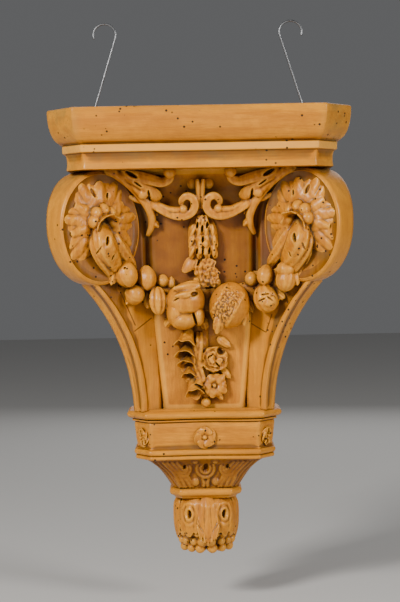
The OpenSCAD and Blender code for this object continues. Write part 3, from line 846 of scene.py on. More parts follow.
def scroll_side(side):
    """The scroll, leaves and knob of one side, from the volute to the middle."""
    def path(*spots):
        return [on_ground(side * x, z, lift) for x, z, lift in spots]

    def strap(spots, w0, w1, tall=5.5, relief=None, rows=70):
        return limb(path(*spots), lambda t: mix(w0, w1, t) * ends_round(0.06 + t * 0.90, 0.35),
                    lambda t: tall * ends_round(0.06 + t * 0.90, 0.35), OUT, relief or ribbon(0.16), rows, 32)

    made = [strap(((72, 160, 5), (60, 155, 9), (48, 146, 13), (34, 138.5, 15), (21, 136, 16), (11, 139.5, 16),
                   (6.6, 147, 16), (8.5, 155.5, 16), (15, 158.5, 15), (20.5, 155, 14), (21.5, 149.5, 12)),
                  4.2, 4.7, 6.5, None, 110)]
    made.append(strap(((58, 154, 6), (46, 149, 11), (35, 144, 14), (26, 143, 15), (19, 144, 15)), 3.0,
                      5.0, 5.5, lambda t, a: 0 * t * a))
    made.append(ball(on_ground(side * 19.5, 144, 17), (4.9, 5.2, 4.9)))
    # The tendril that ends in the knob
    made.append(strap(((88, 184, 6), (70, 181, 10), (55, 177, 12), (43, 174, 12), (34, 177, 12),
                       (31, 183, 11)), 7.0, 4.2, 5.5))
    made.append(ball(on_ground(side * 33.5, 184.5, 14), (6.7, 6.6, 6.7)))
    # Two rounded lobes, the small one in front, and the long slit beside them
    made.append(strap(((86, 180, 8), (72, 176, 12), (60, 169, 14), (51, 161, 12), (47, 156, 8)), 4.5, 8.2,
                      6.5, ribbon(0.08)))
    made.append(strap(((82, 176, 8), (74, 170, 12), (66, 163, 15), (63, 159, 14)), 3.0, 6.0, 6.0,
                      ribbon(0.05)))
    made.append(ball(on_ground(side * 64, 162, 18), (5.8, 5.4, 6.6)))
    made.append(strap(((80, 160, 4), (70, 155, 9), (58, 153, 11), (46, 153, 8)), 3.2, 3.4, 4.5, ribbon(0.05)))
    # The long leaf beside the volute, with three lobes on its inner edge
    made.append(strap(((106, 188, 1), (94, 184, 6), (81, 175, 9), (69, 163, 10), (60, 150, 11),
                       (55, 137, 9), (55.5, 126, 6), (60, 116, 0)),
                      6.2, 4.2, 7.0, ribbon(0.10), 80))
    for x, z, x2, z2, w in ((64, 158, 53, 149, 5.0), (58, 145, 48, 138, 4.6), (55, 132, 47, 124, 4.2)):
        made.append(leaf(on_ground(side * x, z, 8), on_ground(side * x2, z2, 7), w, OUT, 4, 1, 2, 0.12,
                         0.8, 4))
    return made


def stem():
    """The short forked stem between the two scrolls."""
    made = []
    for side in (-1, 1):
        made.append(limb([on_ground(side * 3.4, 177, 8), on_ground(side * 2.6, 170, 13),
                          on_ground(side * 2.0, 160, 13), on_ground(side * 1.6, 146, 11)],
                         lambda t: 3.0 * ends_round(0.1 + t * 0.85, 0.35), lambda t: 5 + 0 * t, OUT))
        made.append(ball(on_ground(side * 9, 173, 1), (6, 4.5, 7)))
    return made


def scroll_rework(points):
    """The slits and eyes, each in the direction that its leaf runs."""
    for side in (-1, 1):
        points = drill(points, on_ground(side * 57, 160, 20), 1.2, 7, -OUT, (0.15 * side, 0, 1), 5.0)
        points = drill(points, on_ground(side * 76, 183, 14), 2.2, 9, -OUT, (1 * side, 0, 0.6), 3.5)
        points = drill(points, on_ground(side * 69, 172, 20), 0.9, 5, -OUT, (side, 0, 0.7), 6)
    return points + 0.25 * waves(points, 8, 52)[:, None] * OUT


finish_wood(one_skin("leaf_scrolls", scroll_side(-1) + scroll_side(1) + stem(), 0.85, 1, scroll_rework))

# %% [markdown]
# ## The garland
# Nuts, an acorn, a pod, a split apple, a burst seed head and a rosebud, packed close on a
# leafy cord. Each fruit is a ball whose relief is its own short formula.

# %% Fruit
def nut_skin(t, angle):
    """A nut: a fine ridge where the cosine of the angle is nought, and a pointed tip."""
    return (0.035 * np.exp(-(np.cos(angle + 0.5) / 0.10) ** 2) + 0.10 * np.exp(-(t / 0.06) ** 2)
            + 0.02 * np.sin(3 * angle + 4 * t))


def segments(count, depth):
    """Furrows from pole to pole: the cosine of half of count times the angle, made sharp."""
    return lambda t, angle: (-depth * (1 - np.abs(np.sin(count * angle / 2)) ** 0.5)
                             * np.sin(np.pi * t) ** 0.35)


def apple_skin(t, angle):
    """An apple: dimples at both ends and slightly flat cheeks. Its cleft is cut later."""
    return (-0.16 * np.exp(-(t / 0.12) ** 2) - 0.20 * np.exp(-((1 - t) / 0.12) ** 2)
            + 0.03 * np.sin(2 * angle + 0.8))


def fruit(x, z, lift, wide, stretch=1.0, lean=0.0, relief=nut_skin, rows=40, cols=56):
    """A fruit that stands off the ground, stretched along an axis that leans sideways."""
    tilt = math.radians(lean)
    return ball(on_ground(x, z, lift), (wide, wide * 0.96, wide * stretch),
                (math.sin(tilt), -0.12, -math.cos(tilt)), OUT, relief, rows, cols)


SEED_HEAD, BUD = (30, 36, 20), (71, 43, 18)
garland = [
    fruit(-84, 73, 16, 12.8, 1.16, 18), fruit(-61.5, 67.5, 17, 10.8, 1.24, 4), fruit(-44, 64, 9, 7.0, 1.0, 0),
    fruit(-75, 49.5, 13, 11.4, 0.92, 62), fruit(-62, 43, 12, 4.2, 2.3, 6),
    fruit(-49.5, 42.5, 20, 10.8, 1.50, 3, segments(6, 0.26)),
    fruit(-18.5, 41.5, 20, 21.0, 1.02, 3, apple_skin, 80, 110),
    ball(on_ground(-21.5, 20.5, 22), (15.0, 17, 11.0)), ball(on_ground(-29, 30, 20), (11.5, 17, 17)),
    ball(on_ground(-4.5, 25, 20), (7.0, 15, 11.5)),
    fruit(*SEED_HEAD, 23.0, 1.14, -14, segments(5, 0.03), 80, 110),
    fruit(*BUD, 14.6, 1.10, 14, segments(9, 0.10)), fruit(55.5, 64.5, 11, 7.4, 1.05, 0),
    fruit(70.5, 68.5, 19, 9.4, 1.20, -10), fruit(93, 64, 14, 11.6, 1.18, -12, segments(11, 0.05)),
    fruit(93, 75, 15, 10.4, 0.9, -12),
]
cord_spots = ((-94, 84, 3), (-80, 66, 4), (-64, 54, 5), (-38, 46, 6), (0, 42, 6), (38, 46, 6),
              (64, 54, 5), (84, 64, 4), (97, 80, 3))
garland.append(limb([on_ground(*p) for p in cord_spots], lambda t: 12 * ends_round(0.08 + 0.84 * t, 0.3),
                    lambda t: 7 * ends_round(0.08 + 0.84 * t, 0.3), OUT,
                    lambda t, a: 0.10 * np.sin(50 * t + 2 * a), 110, 24))
LEAVES = ((-96, 82, -101, 60, 6), (-72, 56, -86, 38, 5), (-36, 54, -34, 70, 5), (20, 58, 8, 70, 5),
          (46, 50, 57, 26, 5), (80, 52, 92, 42, 5), (102, 74, 106, 56, 4.5), (-2, 24, 4, 8, 6),
          (40, 30, 50, 14, 5), (-34, 24, -43, 12, 5))
for x, z, x2, z2, width in LEAVES:
    garland.append(leaf(on_ground(x, z, 6), on_ground(x2, z2, 8), width, OUT, 5, 1, 3, 0.14, 1.0, 3))
# The apple's leaf and stalk, curled over its top, and the burst skin of the seed head
garland.append(leaf(on_ground(-2, 60, 36), on_ground(-34, 57, 36), 6.0, (0.1, -1, 0.5), 3.5, -2, 2, 0.1,
                    0.8, 3))
garland.append(leaf(on_ground(-6, 52, 40), on_ground(-32, 48, 39), 4.4, (0.2, -1, 0.4), 2.6, -1, 2, 0.1,
                    0.8, 2.4))
garland.append(limb([on_ground(-6, 66, 28), on_ground(-8, 60, 34), on_ground(-13, 55, 37)],
                    lambda t: 3.4 - t, lambda t: 3.2 - t, OUT))
garland.append(leaf(on_ground(20, 28, 34), on_ground(15, 4, 30), 6.5, OUT, 4.5, 2, 2, 0.12, 1.0, 5, 0.6))
garland.append(leaf(on_ground(47, 33, 26), on_ground(46, 12, 26), 5.5, (0.5, -1, 0), 3.5, 1, 2, 0.12, 0.8, 4))
for k in range(5):
    a = math.radians(200 + 35 * k)
    garland.append(leaf(on_ground(BUD[0] + 3 * math.cos(a), BUD[1] + 2 * math.sin(a), 31),
                        on_ground(BUD[0] + 12 * math.cos(a), BUD[1] + 13 * math.sin(a), 23), 5.4, OUT,
                        2.6, -1, 1, 0.1, 0.6, 2.5))


def garland_rework(points):
    """The torn flesh of the seed head, in a slanting patch, and the small cuts in the fruit."""
    d = points - on_ground(*SEED_HEAD)
    slant = d[:, 0] * 0.85 - d[:, 2] * 0.5 + 3
    torn = (np.exp(-(slant / 11) ** 4) * np.exp(-((d[:, 2] + d[:, 0] * 0.4 + 3) / 22) ** 4)
            * np.clip(-d[:, 1] / 8 - 0.6, 0, 1))
    crumbs = 2.6 * np.abs(waves(points, 6.0, 31)) + 1.6 * np.abs(waves(points, 3.2, 32)) - 2.4
    points = points + unit(d) * (torn * crumbs)[:, None]
    edge = np.exp(-((np.abs(slant) - 11) / 2.0) ** 2) * np.clip(-d[:, 1] / 8 - 0.6, 0, 1)
    points = points + unit(d) * (edge * 0.9 * (np.linalg.norm(d, axis=1) < 32))[:, None]
    points = drill(points, on_ground(-9, 50, 40), 2.6, 7, -OUT, (1, 0, 0.3), 1.6)
    points = drill(points, on_ground(-29, 44, 40), 0.7, 3, -OUT, (1, 0, 0.5), 6)
    points = drill(points, on_ground(-8.5, 22, 38), 1.6, 7, -OUT, (0.3, 0, -1), 5)
    points = drill(points, on_ground(-85, 80, 26), 1.2, 4)
    for x, z, way in ((66, 42, 0.5), (75, 43, -0.8), (70, 48, 0.1)):
        points = drill(points, on_ground(x, z, 33), 0.9, 3, -OUT, (1, 0, way), 6)
    return points + 0.22 * waves(points, 8, 53)[:, None] * OUT


finish_wood(one_skin("fruit_garland", garland, 0.95, 1, garland_rework))

# %% [markdown]
# ## The two drops
# Between the scrolls hangs a bundle of slit husks that opens into ragged blossoms, and under
# the garland a string of bell flowers, a curled leaf, an open rose and a smaller flower.

# %% Upper drop
upper = [limb([on_ground(0, 136, 2), on_ground(1, 126, 5), on_ground(2, 112, 7), on_ground(2, 98, 7),
               on_ground(2, 88, 5)],
              lambda t: 16.5 * ends_round(0.14 + t * 0.72, 0.75),
              lambda t: 8 * ends_round(0.1 + t * 0.8, 0.6), OUT)]
for z, count, spread, r in ((129, 3, 4.6, 3.0), (119, 4, 7.4, 3.5), (108, 4, 8.4, 3.8), (97, 4, 8.0, 3.9)):
    for k in range(count):
        q = k - (count - 1) / 2
        lean = 0.14 * q
        x = 1.8 + q * spread
        upper.append(ball(on_ground(x, z, 14 - 1.1 * abs(q) ** 2), (r, 4.6, 8.2), (lean, 0.15, -1), OUT,
                          lambda t, a: 0.12 * np.sin(3 * a + 6 * t)))
for x, z in ((-1.5, 105), (5.0, 105), (-1.8, 97.5), (4.8, 96)):
    upper.append(ball(on_ground(x, z, 18), (3.0, 3.4, 4.6)))
upper.append(leaf(on_ground(-6, 91, 8), on_ground(-22, 73, 9), 7.2, (-0.3, -1, 0.1), 2.5, 0, 1, 0.05, 0.3,
                  3, 0.5))
for x, z, r, petals, turn, way in ((6, 82, 10.5, 6, 0.3, 0.2), (-1, 74, 9.5, 5, 1.0, -0.3),
                                   (11, 72, 9.5, 6, 0.1, 0.4), (4, 64, 8.5, 5, 0.6, 0.1),
                                   (13, 62, 7.0, 5, 0.9, 0.5)):
    upper += blossom(on_ground(x, z, 10), r, petals, (way, -1, -0.1), turn, 3.0, 3.5, 0.2, 2, 2.6, 0.2)
    upper.append(ball(on_ground(x, z, 6), (r * 0.85, 8, r * 0.85)))


def upper_rework(points):
    """Slits between the husks, and the raggedness of the blossoms."""
    low = np.clip((92 - points[:, 2]) / 8, 0, 1)
    proud = np.clip((-points[:, 1] - 80) / 5, 0, 1)
    ragged = low * proud * (points[:, 0] > -9)
    crumbs = 1.3 * np.abs(waves(points, 8, 41)) + 0.5 * waves(points, 4, 42) - 0.6
    points = points + (ragged * crumbs)[:, None] * OUT
    for x, z, r in ((-4.0, 126, 1.4), (1.2, 122, 1.5), (6.8, 126, 1.4), (1.8, 110, 1.3), (-4.8, 97, 1.3),
                    (1.6, 97, 1.2), (8.6, 97, 1.3)):
        points = drill(points, on_ground(x, z, 16), r, 9, -OUT, (0.12, 0, 1), 2.9)
    return points


finish_wood(one_skin("upper_drop", upper, 0.8, 1, upper_rework))

# %% Lower drop
lower = [limb([on_ground(-6, 16, 1), on_ground(-5, -10, 2), on_ground(-2, -36, 2), on_ground(1, -60, 2),
               on_ground(2, -72, 1)],
              lambda t: mix(13, 5, t), lambda t: mix(8, 4, t) * ends_round(0.05 + 0.9 * t, 0.3), OUT)]
for top, rim, r, petals, turn in (((-15, 13, 6), (-20, -9, 20), 12.0, 5, 0.4),
                                  ((-16, -7, 3), (-20.5, -22, 17), 11.5, 5, 1.2),
                                  ((-15, -20, 2), (-19, -33, 15), 10.5, 4, 0.2),
                                  ((-14, -31, 2), (-16.5, -45, 13), 8.6, 5, 0.9),
                                  ((-13, -46, 4), (-10.5, -64, 18), 10.0, 4, 0.7)):
    lower.append(bell_flower(on_ground(*top), on_ground(*rim), r, petals, 1.05, turn))
curl = [on_ground(*p) for p in ((-4, 6, 8), (-4.5, -6, 13), (-6.5, -20, 13), (-7, -30, 11), (-4, -41, 11),
                                (-2, -47, 12), (-5, -52, 14))]
lower.append(limb(curl, lambda t: 5.4 * ends_round(0.12 + 0.86 * t, 0.5),
                  lambda t: 3.6 * ends_round(0.12 + 0.86 * t, 0.5), OUT,
                  lambda t, a: -0.45 * np.exp(-(np.cos(a) / 0.4) ** 2) * np.clip(np.sin(a) * 3, 0, 1),
                  60, 32))
lower.append(bell_flower(on_ground(-4, -44, 9), on_ground(-6.5, -55, 15), 7.0, 3, 1.0, 0.3))
ROSE = (14, -24)
ROSE_PETALS = ((200, 17.5, 10.5, 8, 2.5, 8), (260, 16.5, 10, 8, 2.5, 7), (320, 16.5, 9.5, 8, 2.5, 6),
               (20, 15.5, 8.5, 7, 2, 6), (75, 14.5, 8.5, 7, 2, 6), (135, 15.5, 9.5, 8, 2, 6),
               (230, 10.5, 7.5, 12, 3, 7), (300, 10.0, 7, 12, 3, 6), (150, 10.5, 7, 12, 3, 5),
               (185, 7, 5.5, 16, 3, 4))
for a, far, wide, lift, rise, curve in ROSE_PETALS:
    a = math.radians(a)
    x0, z0 = ROSE[0] - 1, ROSE[1]
    lower.append(leaf(on_ground(x0, z0, lift),
                      on_ground(x0 + far * math.cos(a), z0 + far * math.sin(a), lift), wide, OUT, rise,
                      0.7 * curve, 1, 0.0, 0.0, 3.4, 0.45, -0.2, 20, 21))
lower.append(ball(on_ground(ROSE[0], ROSE[1], 5), (11, 8, 11)))
lower += blossom(on_ground(11.5, -54.5, 9), 15.0, 5, (0.1, -1, 0), 0.75, 4.0, 1.5, 0.14, 2, 4.0, 0.12)
lower.append(ball(on_ground(11.5, -54.5, 3), (9, 7, 9)))
lower += [fruit(2, -74, 6, 5.4, 1.1, 0, nut_skin, 24, 30)]
for x, z, x2, z2, w in ((20, -4, 32, -12, 5), (24, -38, 31, -48, 4.0), (6, -64, 3, -72, 3.6),
                        (16, -64, 22, -72, 3.6)):
    lower.append(leaf(on_ground(x - 4, z + 3, 4), on_ground(x2, z2, 6), w, OUT, 3, 1, 3, 0.14, 0.8, 2.6))


def lower_rework(points):
    """The dark heart of the rose, and slits in the petals."""
    points = drill(points, on_ground(20, -15.5, 18), 5.0, 9, -OUT)
    points = drill(points, on_ground(16, -31, 18), 1.0, 5, -OUT, (-1, 0, 1.2), 4)
    points = drill(points, on_ground(8, -21, 22), 0.9, 4, -OUT, (1, 0, 0.7), 5)
    return points + 0.3 * waves(points, 6, 54)[:, None] * OUT


finish_wood(one_skin("lower_drop", lower, 0.8, 1, lower_rework))

# %% [markdown]
# ## Roses on the foot, leaves on the bell, and the finial
# The last carvings: a small rose on each face of the band, low flame-shaped leaves round the
# bell, and a finial of hanging leaves over a cluster of berries.

# %% Band roses
def band_roses():
    """A rose on the front face and one on each canted face, flat on the tapering band."""
    z, inset = mix(BAND_Z, MOULD_Z, 0.5), 2.6
    f, o, d = BASE_FRONT - inset, BASE_OUTER - inset, BASE_DEPTH - inset
    made = blossom((0, -d - 1.2, z), 13, 6, (0, -1, -0.08), 0.5, 2.4, 0.6, 0.2, 1, 4, 0.07, 0.38)
    v = d - (o - f) * math.tan(CANT) / 2
    for side in (-1, 1):
        out = np.array([side * math.sin(CANT), -math.cos(CANT), -0.08])
        made += blossom(np.array([side * (f + o) / 2, -v, z]) + out * 0.8, 11.5, 6, out, 0.5, 2.6, 1.0,
                        0.2, 1, 4, 0.07, 0.38)
    return made


def rose_cuts(points):
    """Small drilled cuts between the petals, the deepest on the canted faces."""
    z = mix(BAND_Z, MOULD_Z, 0.5)
    for side in (-1, 1):
        way = np.array([-side * math.sin(CANT), math.cos(CANT), 0])
        for dx, dz in ((-2.5, -4), (1.0, -7), (2.0, 4)):
            points = drill(points, (side * (70.5 + dx), -69 + dx, z + dz), 2.4, 7, way, (0, 0, 1), 1.7)
    return points


finish_wood(one_skin("band_roses", band_roses(), 0.6, 1, rose_cuts))


# %% Bell and its leaves
def bell_plan(x, grow=0.0):
    """The bell's canted plan at the share x of its height: mostly linear at first, and a
    fifth power near the top, which hollows the profile."""
    f = 0.65 * x + 0.35 * x**5
    base_plan = (BASE_FRONT - 8, BASE_OUTER - 8, BASE_DEPTH - 8)
    return tuple(mix(neck, base, f) + grow for neck, base in zip(NECK_PLAN, base_plan))


def on_bell(x, height, lift=0.0):
    """The point of the bell's front at x, at a share of its height, and off its surface."""
    front, outer, depth = bell_plan(height)
    back = np.clip(abs(x) - front, 0, None) * math.tan(CANT)
    return np.array([x, -(depth - back) - lift, NECK_Z + BELL_H * height])


bell_steps = plan_steps(*NECK_PLAN, 2.0)
bell_rings = []
for x in np.linspace(1.03, -0.03, 24):
    plan = canted_ring(*bell_plan(x), 0.0, bell_steps, 3.0)
    bell_rings.append(np.column_stack([plan[:, 0], -plan[:, 1], np.full(len(plan), NECK_Z + BELL_H * x)]))
bell = [closed_skin(np.array(bell_rings))]


def flame(spots, w0, w1, height=2.6):
    """A low curved ridge over the bell: pairs of place and share of the height."""
    return limb([on_bell(x, h, 0.6) for x, h in spots],
                lambda t: mix(w0, w1, t) * ends_round(0.1 + 0.84 * t, 0.4),
                lambda t: height * ends_round(0.1 + 0.84 * t, 0.35), (0, -1, -0.3),
                lambda t, a: -0.25 * np.exp(-(np.cos(a) / 0.3) ** 2) * np.clip(np.sin(a) * 3, 0, 1),
                34, 24)


for eye, size in ((0, 1.0), (-25, 0.8), (25, 0.8)):
    for r, w in ((5.6, 1.9), (10.0, 2.1)):
        arc_spots = []
        for a in np.radians(np.linspace(-205, 25, 9)):
            arc_spots.append((eye + size * r * math.cos(a), 0.70 + size * r * math.sin(a) * 1.15 / BELL_H))
        bell.append(flame(arc_spots, w, w))
for side in (-1, 1):
    bell.append(ball(on_bell(side * 11.5, 0.24, 0), (4.6, 3.4, 5.6)))
    bell.append(ball(on_bell(side * 11.5, 0.95, -1), (3.6, 3.4, 3.6)))
    bell.append(flame(((side * 2.4, 0.05), (side * 2.2, 0.2), (side * 4.4, 0.36)), 2.2, 1.8))
    for k in range(6):
        foot, head = 14 + 3.9 * k, 33 + 5.4 * k
        bell.append(flame(((side * foot, 0.04), (side * mix(foot, head, 0.22), 0.3),
                           (side * mix(foot, head, 0.5), 0.6), (side * head, 0.94)), 2.0, 2.5))
    for k in range(3):
        foot = 17 + 6 * k
        bell.append(flame(((side * foot, 0.05), (side * (foot + 2.5), 0.22), (side * (foot + 6.5), 0.4)),
                          2.0, 1.4, 3.2))


def bell_cuts(points):
    """Drilled eyes, the middle one the largest."""
    for eye, r in ((0.5, 2.7), (-24, 1.6), (25.5, 1.8)):
        points = drill(points, on_bell(eye, 0.74, 2), r, 5, -OUT, (0.2, 0, 1), 1.7)
    return points + 0.2 * waves(points, 6, 55)[:, None] * OUT


finish_wood(one_skin("bell_leaves", bell, 0.9, 1, bell_cuts))

# %% Finial
FINIAL_R, FINIAL_V = 37.5, 9.0


def finial_r(t):
    """The finial's radius at the share t of its height: an oval with full shoulders."""
    return FINIAL_R * np.sqrt(np.clip(1 - np.abs((t - 0.38) / 0.72) ** 2.8, 0.02, 1))


def hanging_leaf(turn, half, foot, lobes=3, lift=0.0, eye=0.0):
    """A leaf that hugs the finial: u runs across it over the angle half, t down it to foot.
    Its lobes are cut as on the flat leaves; rings round its eye are a damped cosine."""
    t, u = np.linspace(0, 1, 60)[:, None], np.linspace(-1, 1, 49)[None]
    lobe = np.abs(np.cos(lobes * np.pi * u / 2)) ** 0.5
    down = foot * t * (np.sqrt(np.clip(1 - (0.75 * u) ** 2, 0, 1)) - 0.16 * (1 - lobe) * t)
    angle = turn + u * half * (0.62 + 0.38 * np.sin(np.pi / 2 * np.clip(1.5 * t, 0, 1)))
    far = np.hypot((angle - turn) * 36, (down - 0.31) * FINIAL_H * 0.75)
    rings = eye * 1.1 * np.cos(far * 1.25) * np.exp(-(far / 9) ** 2)
    flutes = -1.5 * (1 - lobe) * np.clip(3 * t, 0, 1)
    r = finial_r(down) + lift + 8 * lift * t**3 + 1.4 * np.cos(u * np.pi / 2) + flutes + rings + 0.8 * t**6
    r = r - 3 * np.clip(1 - 5 * t, 0, 1)

    def place(radius):
        return np.stack([radius * np.sin(angle), -FINIAL_V - radius * np.cos(angle),
                         FINIAL_Z + 1 - FINIAL_H * down], -1)

    return closed_skin(np.concatenate([place(r), place(r - 4.2)[:, ::-1]], axis=1))


core_rings = []
for t in np.linspace(-0.02, 0.9, 40):
    r = float(finial_r(max(t, 0))) - 4.5
    a = np.linspace(-1, 1, 70) * math.acos(-min(1, FINIAL_V / r))
    front = np.column_stack([r * np.sin(a), np.minimum(-FINIAL_V - r * np.cos(a), 0.0)])
    core_rings.append(np.column_stack([front, np.full(len(front), FINIAL_Z + 1 - FINIAL_H * t)]))
finial = [closed_skin(np.array(core_rings))]
for turn, half, foot, lift, eye in ((-1.45, 0.50, 0.80, -0.2, 0), (1.45, 0.50, 0.80, -0.2, 0),
                                    (-0.56, 0.48, 0.72, 0.0, 1), (0.60, 0.48, 0.72, 0.0, 1),
                                    (0.04, 0.30, 0.88, 1.0, 0)):
    finial.append(hanging_leaf(turn, half, foot, 3, lift, eye))
berry = np.random.default_rng(5)
for z, r, count in ((-229, 29.5, 9), (-238.5, 29.0, 8), (-246.5, 26.5, 6), (-247.2, 17, 4), (-247.2, 7, 2)):
    for k in range(count):
        turn = (k + 0.5) / count * 3.0 - 1.5 + berry.uniform(-0.06, 0.06)
        size = berry.uniform(4.7, 6.2)
        finial.append(ball((r * math.sin(turn), -FINIAL_V - 1 - r * math.cos(turn), z), size))
    finial.append(ball((0, -FINIAL_V - r * 0.4, z + 5), (r * 0.8, r * 0.5, 6)))


def finial_cuts(points):
    """Two drilled eyes between the front leaves, and the flat back."""
    for turn, t, r in ((-0.54, 0.31, 3.0), (0.58, 0.31, 3.0)):
        up = np.array([math.sin(turn), -math.cos(turn), 0])
        radius = float(finial_r(t)) + 1
        at = np.array([radius * math.sin(turn), -FINIAL_V - radius * math.cos(turn),
                       FINIAL_Z + 1 - FINIAL_H * t])
        points = drill(points, at, r, 8, -up, (0.1, 0, 1), 1.7)
    points[:, 2] = np.maximum(points[:, 2], corbel_low[2] + 0.2)
    points[:, 1] = np.minimum(points[:, 1], 0)
    return points


finish_wood(one_skin("leaf_finial", finial, 0.82, 1, finial_cuts))

# %% [markdown]
# ## Hooks and eyes
# The hook is one bent wire: an arc, a straight slanting shank that touches both crooks, and
# an arc. A limb along those points gives it a round section and domed ends. The eyes keep
# their place and size from the frame, with the turns of the wire added.

# %% Hooks
WIRE, CROOK_R, HOOK_H, HOOK_V = 2.6, 13, 113, 10
EYE_WIRE, EYE_R, EYE_NECK, EYE_SCREW, HANG_GAP = 2.4, 5, 3, 18, 0.2


def hook_path():
    """Points along the wire's middle, from the lower crook's end to the upper one's."""
    rise = HOOK_H - 2 * CROOK_R
    lean = math.asin(2 * CROOK_R / rise)
    low_z = TOP_Z - NOTCH[2] + EYE_NECK + 2 * EYE_R - (WIRE + EYE_WIRE) / 2 - HANG_GAP + CROOK_R
    sweep = math.radians(200) + lean
    down = math.pi - lean + sweep * np.linspace(1, 0, 60)
    up = -lean + sweep * np.linspace(0, 1, 60)
    low = np.column_stack([CROOK_R * np.cos(down), 0 * down, low_z + CROOK_R * np.sin(down)])
    high = np.column_stack([CROOK_R * np.cos(up), 0 * up, low_z + rise + CROOK_R * np.sin(up)])
    shank = mix(low[-1], high[0], np.linspace(0, 1, 20)[1:-1, None])
    return np.concatenate([low, shank, high])


def wire_end(t):
    """Full thickness, with domed ends."""
    return WIRE / 2 * np.clip(np.minimum(t, 1 - t) / 0.006, 0, 1) ** 0.5 * 0.995


for name, side in (("left", -1), ("right", 1)):
    path = hook_path()
    path[:, 0] *= -side
    path += [side * HOOK_X, -HOOK_V, 0]
    finish_piece(mesh_object("s_hook_wire_" + name, *limb(path, wire_end, wire_end, OUT, None, 240, 20)),
                 "hook_steel", "s_hook_" + name)


def screw_eye(side):
    """A ring of wire on a neck, over a tapering screw whose thread is a fine helix."""
    centre = np.array([side * HOOK_X, -HOOK_V, TOP_Z - NOTCH[2] + EYE_NECK + EYE_R])
    a = np.linspace(0, 2 * np.pi, 48, endpoint=False)[:, None]
    b = np.linspace(0, 2 * np.pi, 16, endpoint=False)[None]
    r = EYE_R + EYE_WIRE / 2 * np.cos(b)
    ring = np.stack([EYE_WIRE / 2 * np.sin(b) + 0 * a, r * np.cos(a), r * np.sin(a)], -1)
    n, m = ring.shape[:2]
    i, j = np.meshgrid(np.arange(n), np.arange(m), indexing="ij")
    corners = (i * m + j, i * m + (j + 1) % m, (i + 1) % n * m + (j + 1) % m, (i + 1) % n * m + j)
    torus = (ring.reshape(-1, 3) + centre, [np.stack(corners, -1).reshape(-1, 4)])
    floor_z = TOP_Z - NOTCH[2]
    z = np.linspace(floor_z - EYE_SCREW, floor_z + EYE_NECK + 0.6, 90)[:, None]
    turns = np.linspace(0, 2 * np.pi, 18, endpoint=False)[None]
    thread = np.clip((floor_z - 2 - z) / 1.5, 0, 1) * 0.22 * (0.5 + 0.5 * np.cos(turns - z * 2 * np.pi / 1.6))
    radius = EYE_WIRE / 2 * np.clip((z - floor_z + EYE_SCREW) / 5 + 0.12, 0, 1) - thread
    shank = np.stack([radius * np.cos(turns) + centre[0], radius * np.sin(turns) + centre[1],
                      z + 0 * turns], -1)
    return joined([torus, closed_skin(shank)])


for name, side in (("left", -1), ("right", 1)):
    finish_piece(mesh_object("eye_wire_" + name, *screw_eye(side)), "eye_steel", "screw_eye_" + name)

# %% [markdown]
# ## Shader maths
# A procedural material is a formula, and a formula reads best as one. The small class below
# wraps a socket, so that Python's own operators add the Math nodes behind it.

# %% Sockets with operators
class Value:
    """A node's output that can be added, multiplied and compared."""

    def __init__(self, tree, socket):
        self.tree, self.socket = tree, socket

    def math(self, operation, *others):
        return node(self.tree, "ShaderNodeMath", {"operation": operation}, [self, *others])

    def __add__(self, other):
        return self.math("ADD", other)

    def __mul__(self, other):
        return self.math("MULTIPLY", other)

    def __sub__(self, other):
        return self.math("SUBTRACT", other)

    def __rsub__(self, other):
        return node(self.tree, "ShaderNodeMath", {"operation": "SUBTRACT"}, [other, self])

    __radd__, __rmul__ = __add__, __mul__

    def over(self, low, high):
        """0 below low, 1 above high, and smooth between."""
        return node(self.tree, "ShaderNodeMapRange", {"interpolation_type": "SMOOTHSTEP"},
                    {"Value": self, "From Min": low, "From Max": high})


def node(tree, kind, settings=None, inputs=None, output=0):
    """Adds a node: its settings first, then the values or links of its sockets."""
    made = tree.nodes.new(kind)
    for key, value in (settings or {}).items():
        setattr(made, key, value)
    pairs = inputs.items() if isinstance(inputs, dict) else enumerate(inputs or [])
    for key, value in pairs:
        if isinstance(value, Value):
            tree.links.new(value.socket, made.inputs[key])
        else:
            made.inputs[key].default_value = value
    return Value(tree, made.outputs[output])


def blend(tree, share, a, b):
    """The colour between a and b; each is a colour or a link."""
    made = tree.nodes.new("ShaderNodeMix")
    made.data_type = "RGBA"
    for index, value in ((0, share), (6, a), (7, b)):
        if isinstance(value, Value):
            tree.links.new(value.socket, made.inputs[index])
        else:
            made.inputs[index].default_value = (*value, 1) if index else value
    return Value(tree, made.outputs[2])


def linear(r, g, b):
    """A colour from 0 to 255, as paint charts give it, in the renderer's linear values."""
    c = np.array([r, g, b]) / 255
    return tuple(float(v) for v in np.where(c <= 0.04045, c / 12.92, ((c + 0.055) / 1.055) ** 2.4))


# %% [markdown]
# ## Old waxed wood
# Limewood turns honey brown under wax. Wax and dust darken the hollows and handling lightens the
# edges; on top of that the hollows, creases and deep places carry painted shade, and the edges that
# stand out a painted highlight. Beetles leave holes of two millimetres. The painted shade of the
# hollows comes from ambient occlusion, which looks at the carving itself; the edges from the relief
# attribute that each piece carries; the grain from noise drawn out along the wood; the holes from a
# few of the cells of a Voronoi pattern, in the places where a second noise lets them through.

# %% Wood material
LIGHT, MIDDLE, DARK = (0.80, 0.310, 0.010), (0.50, 0.160, 0.004), (0.17, 0.052, 0.003)
# Where a board was glued on: two ends in x and z, in metres.
JOINTS = ((-0.0912, 0.053, -0.0755, 0.0143), (-0.0773, 0.008, -0.0571, 0.023),
          (0.0547, 0.0143, 0.071, 0.0043), (0.071, 0.0043, 0.078, 0.0255))


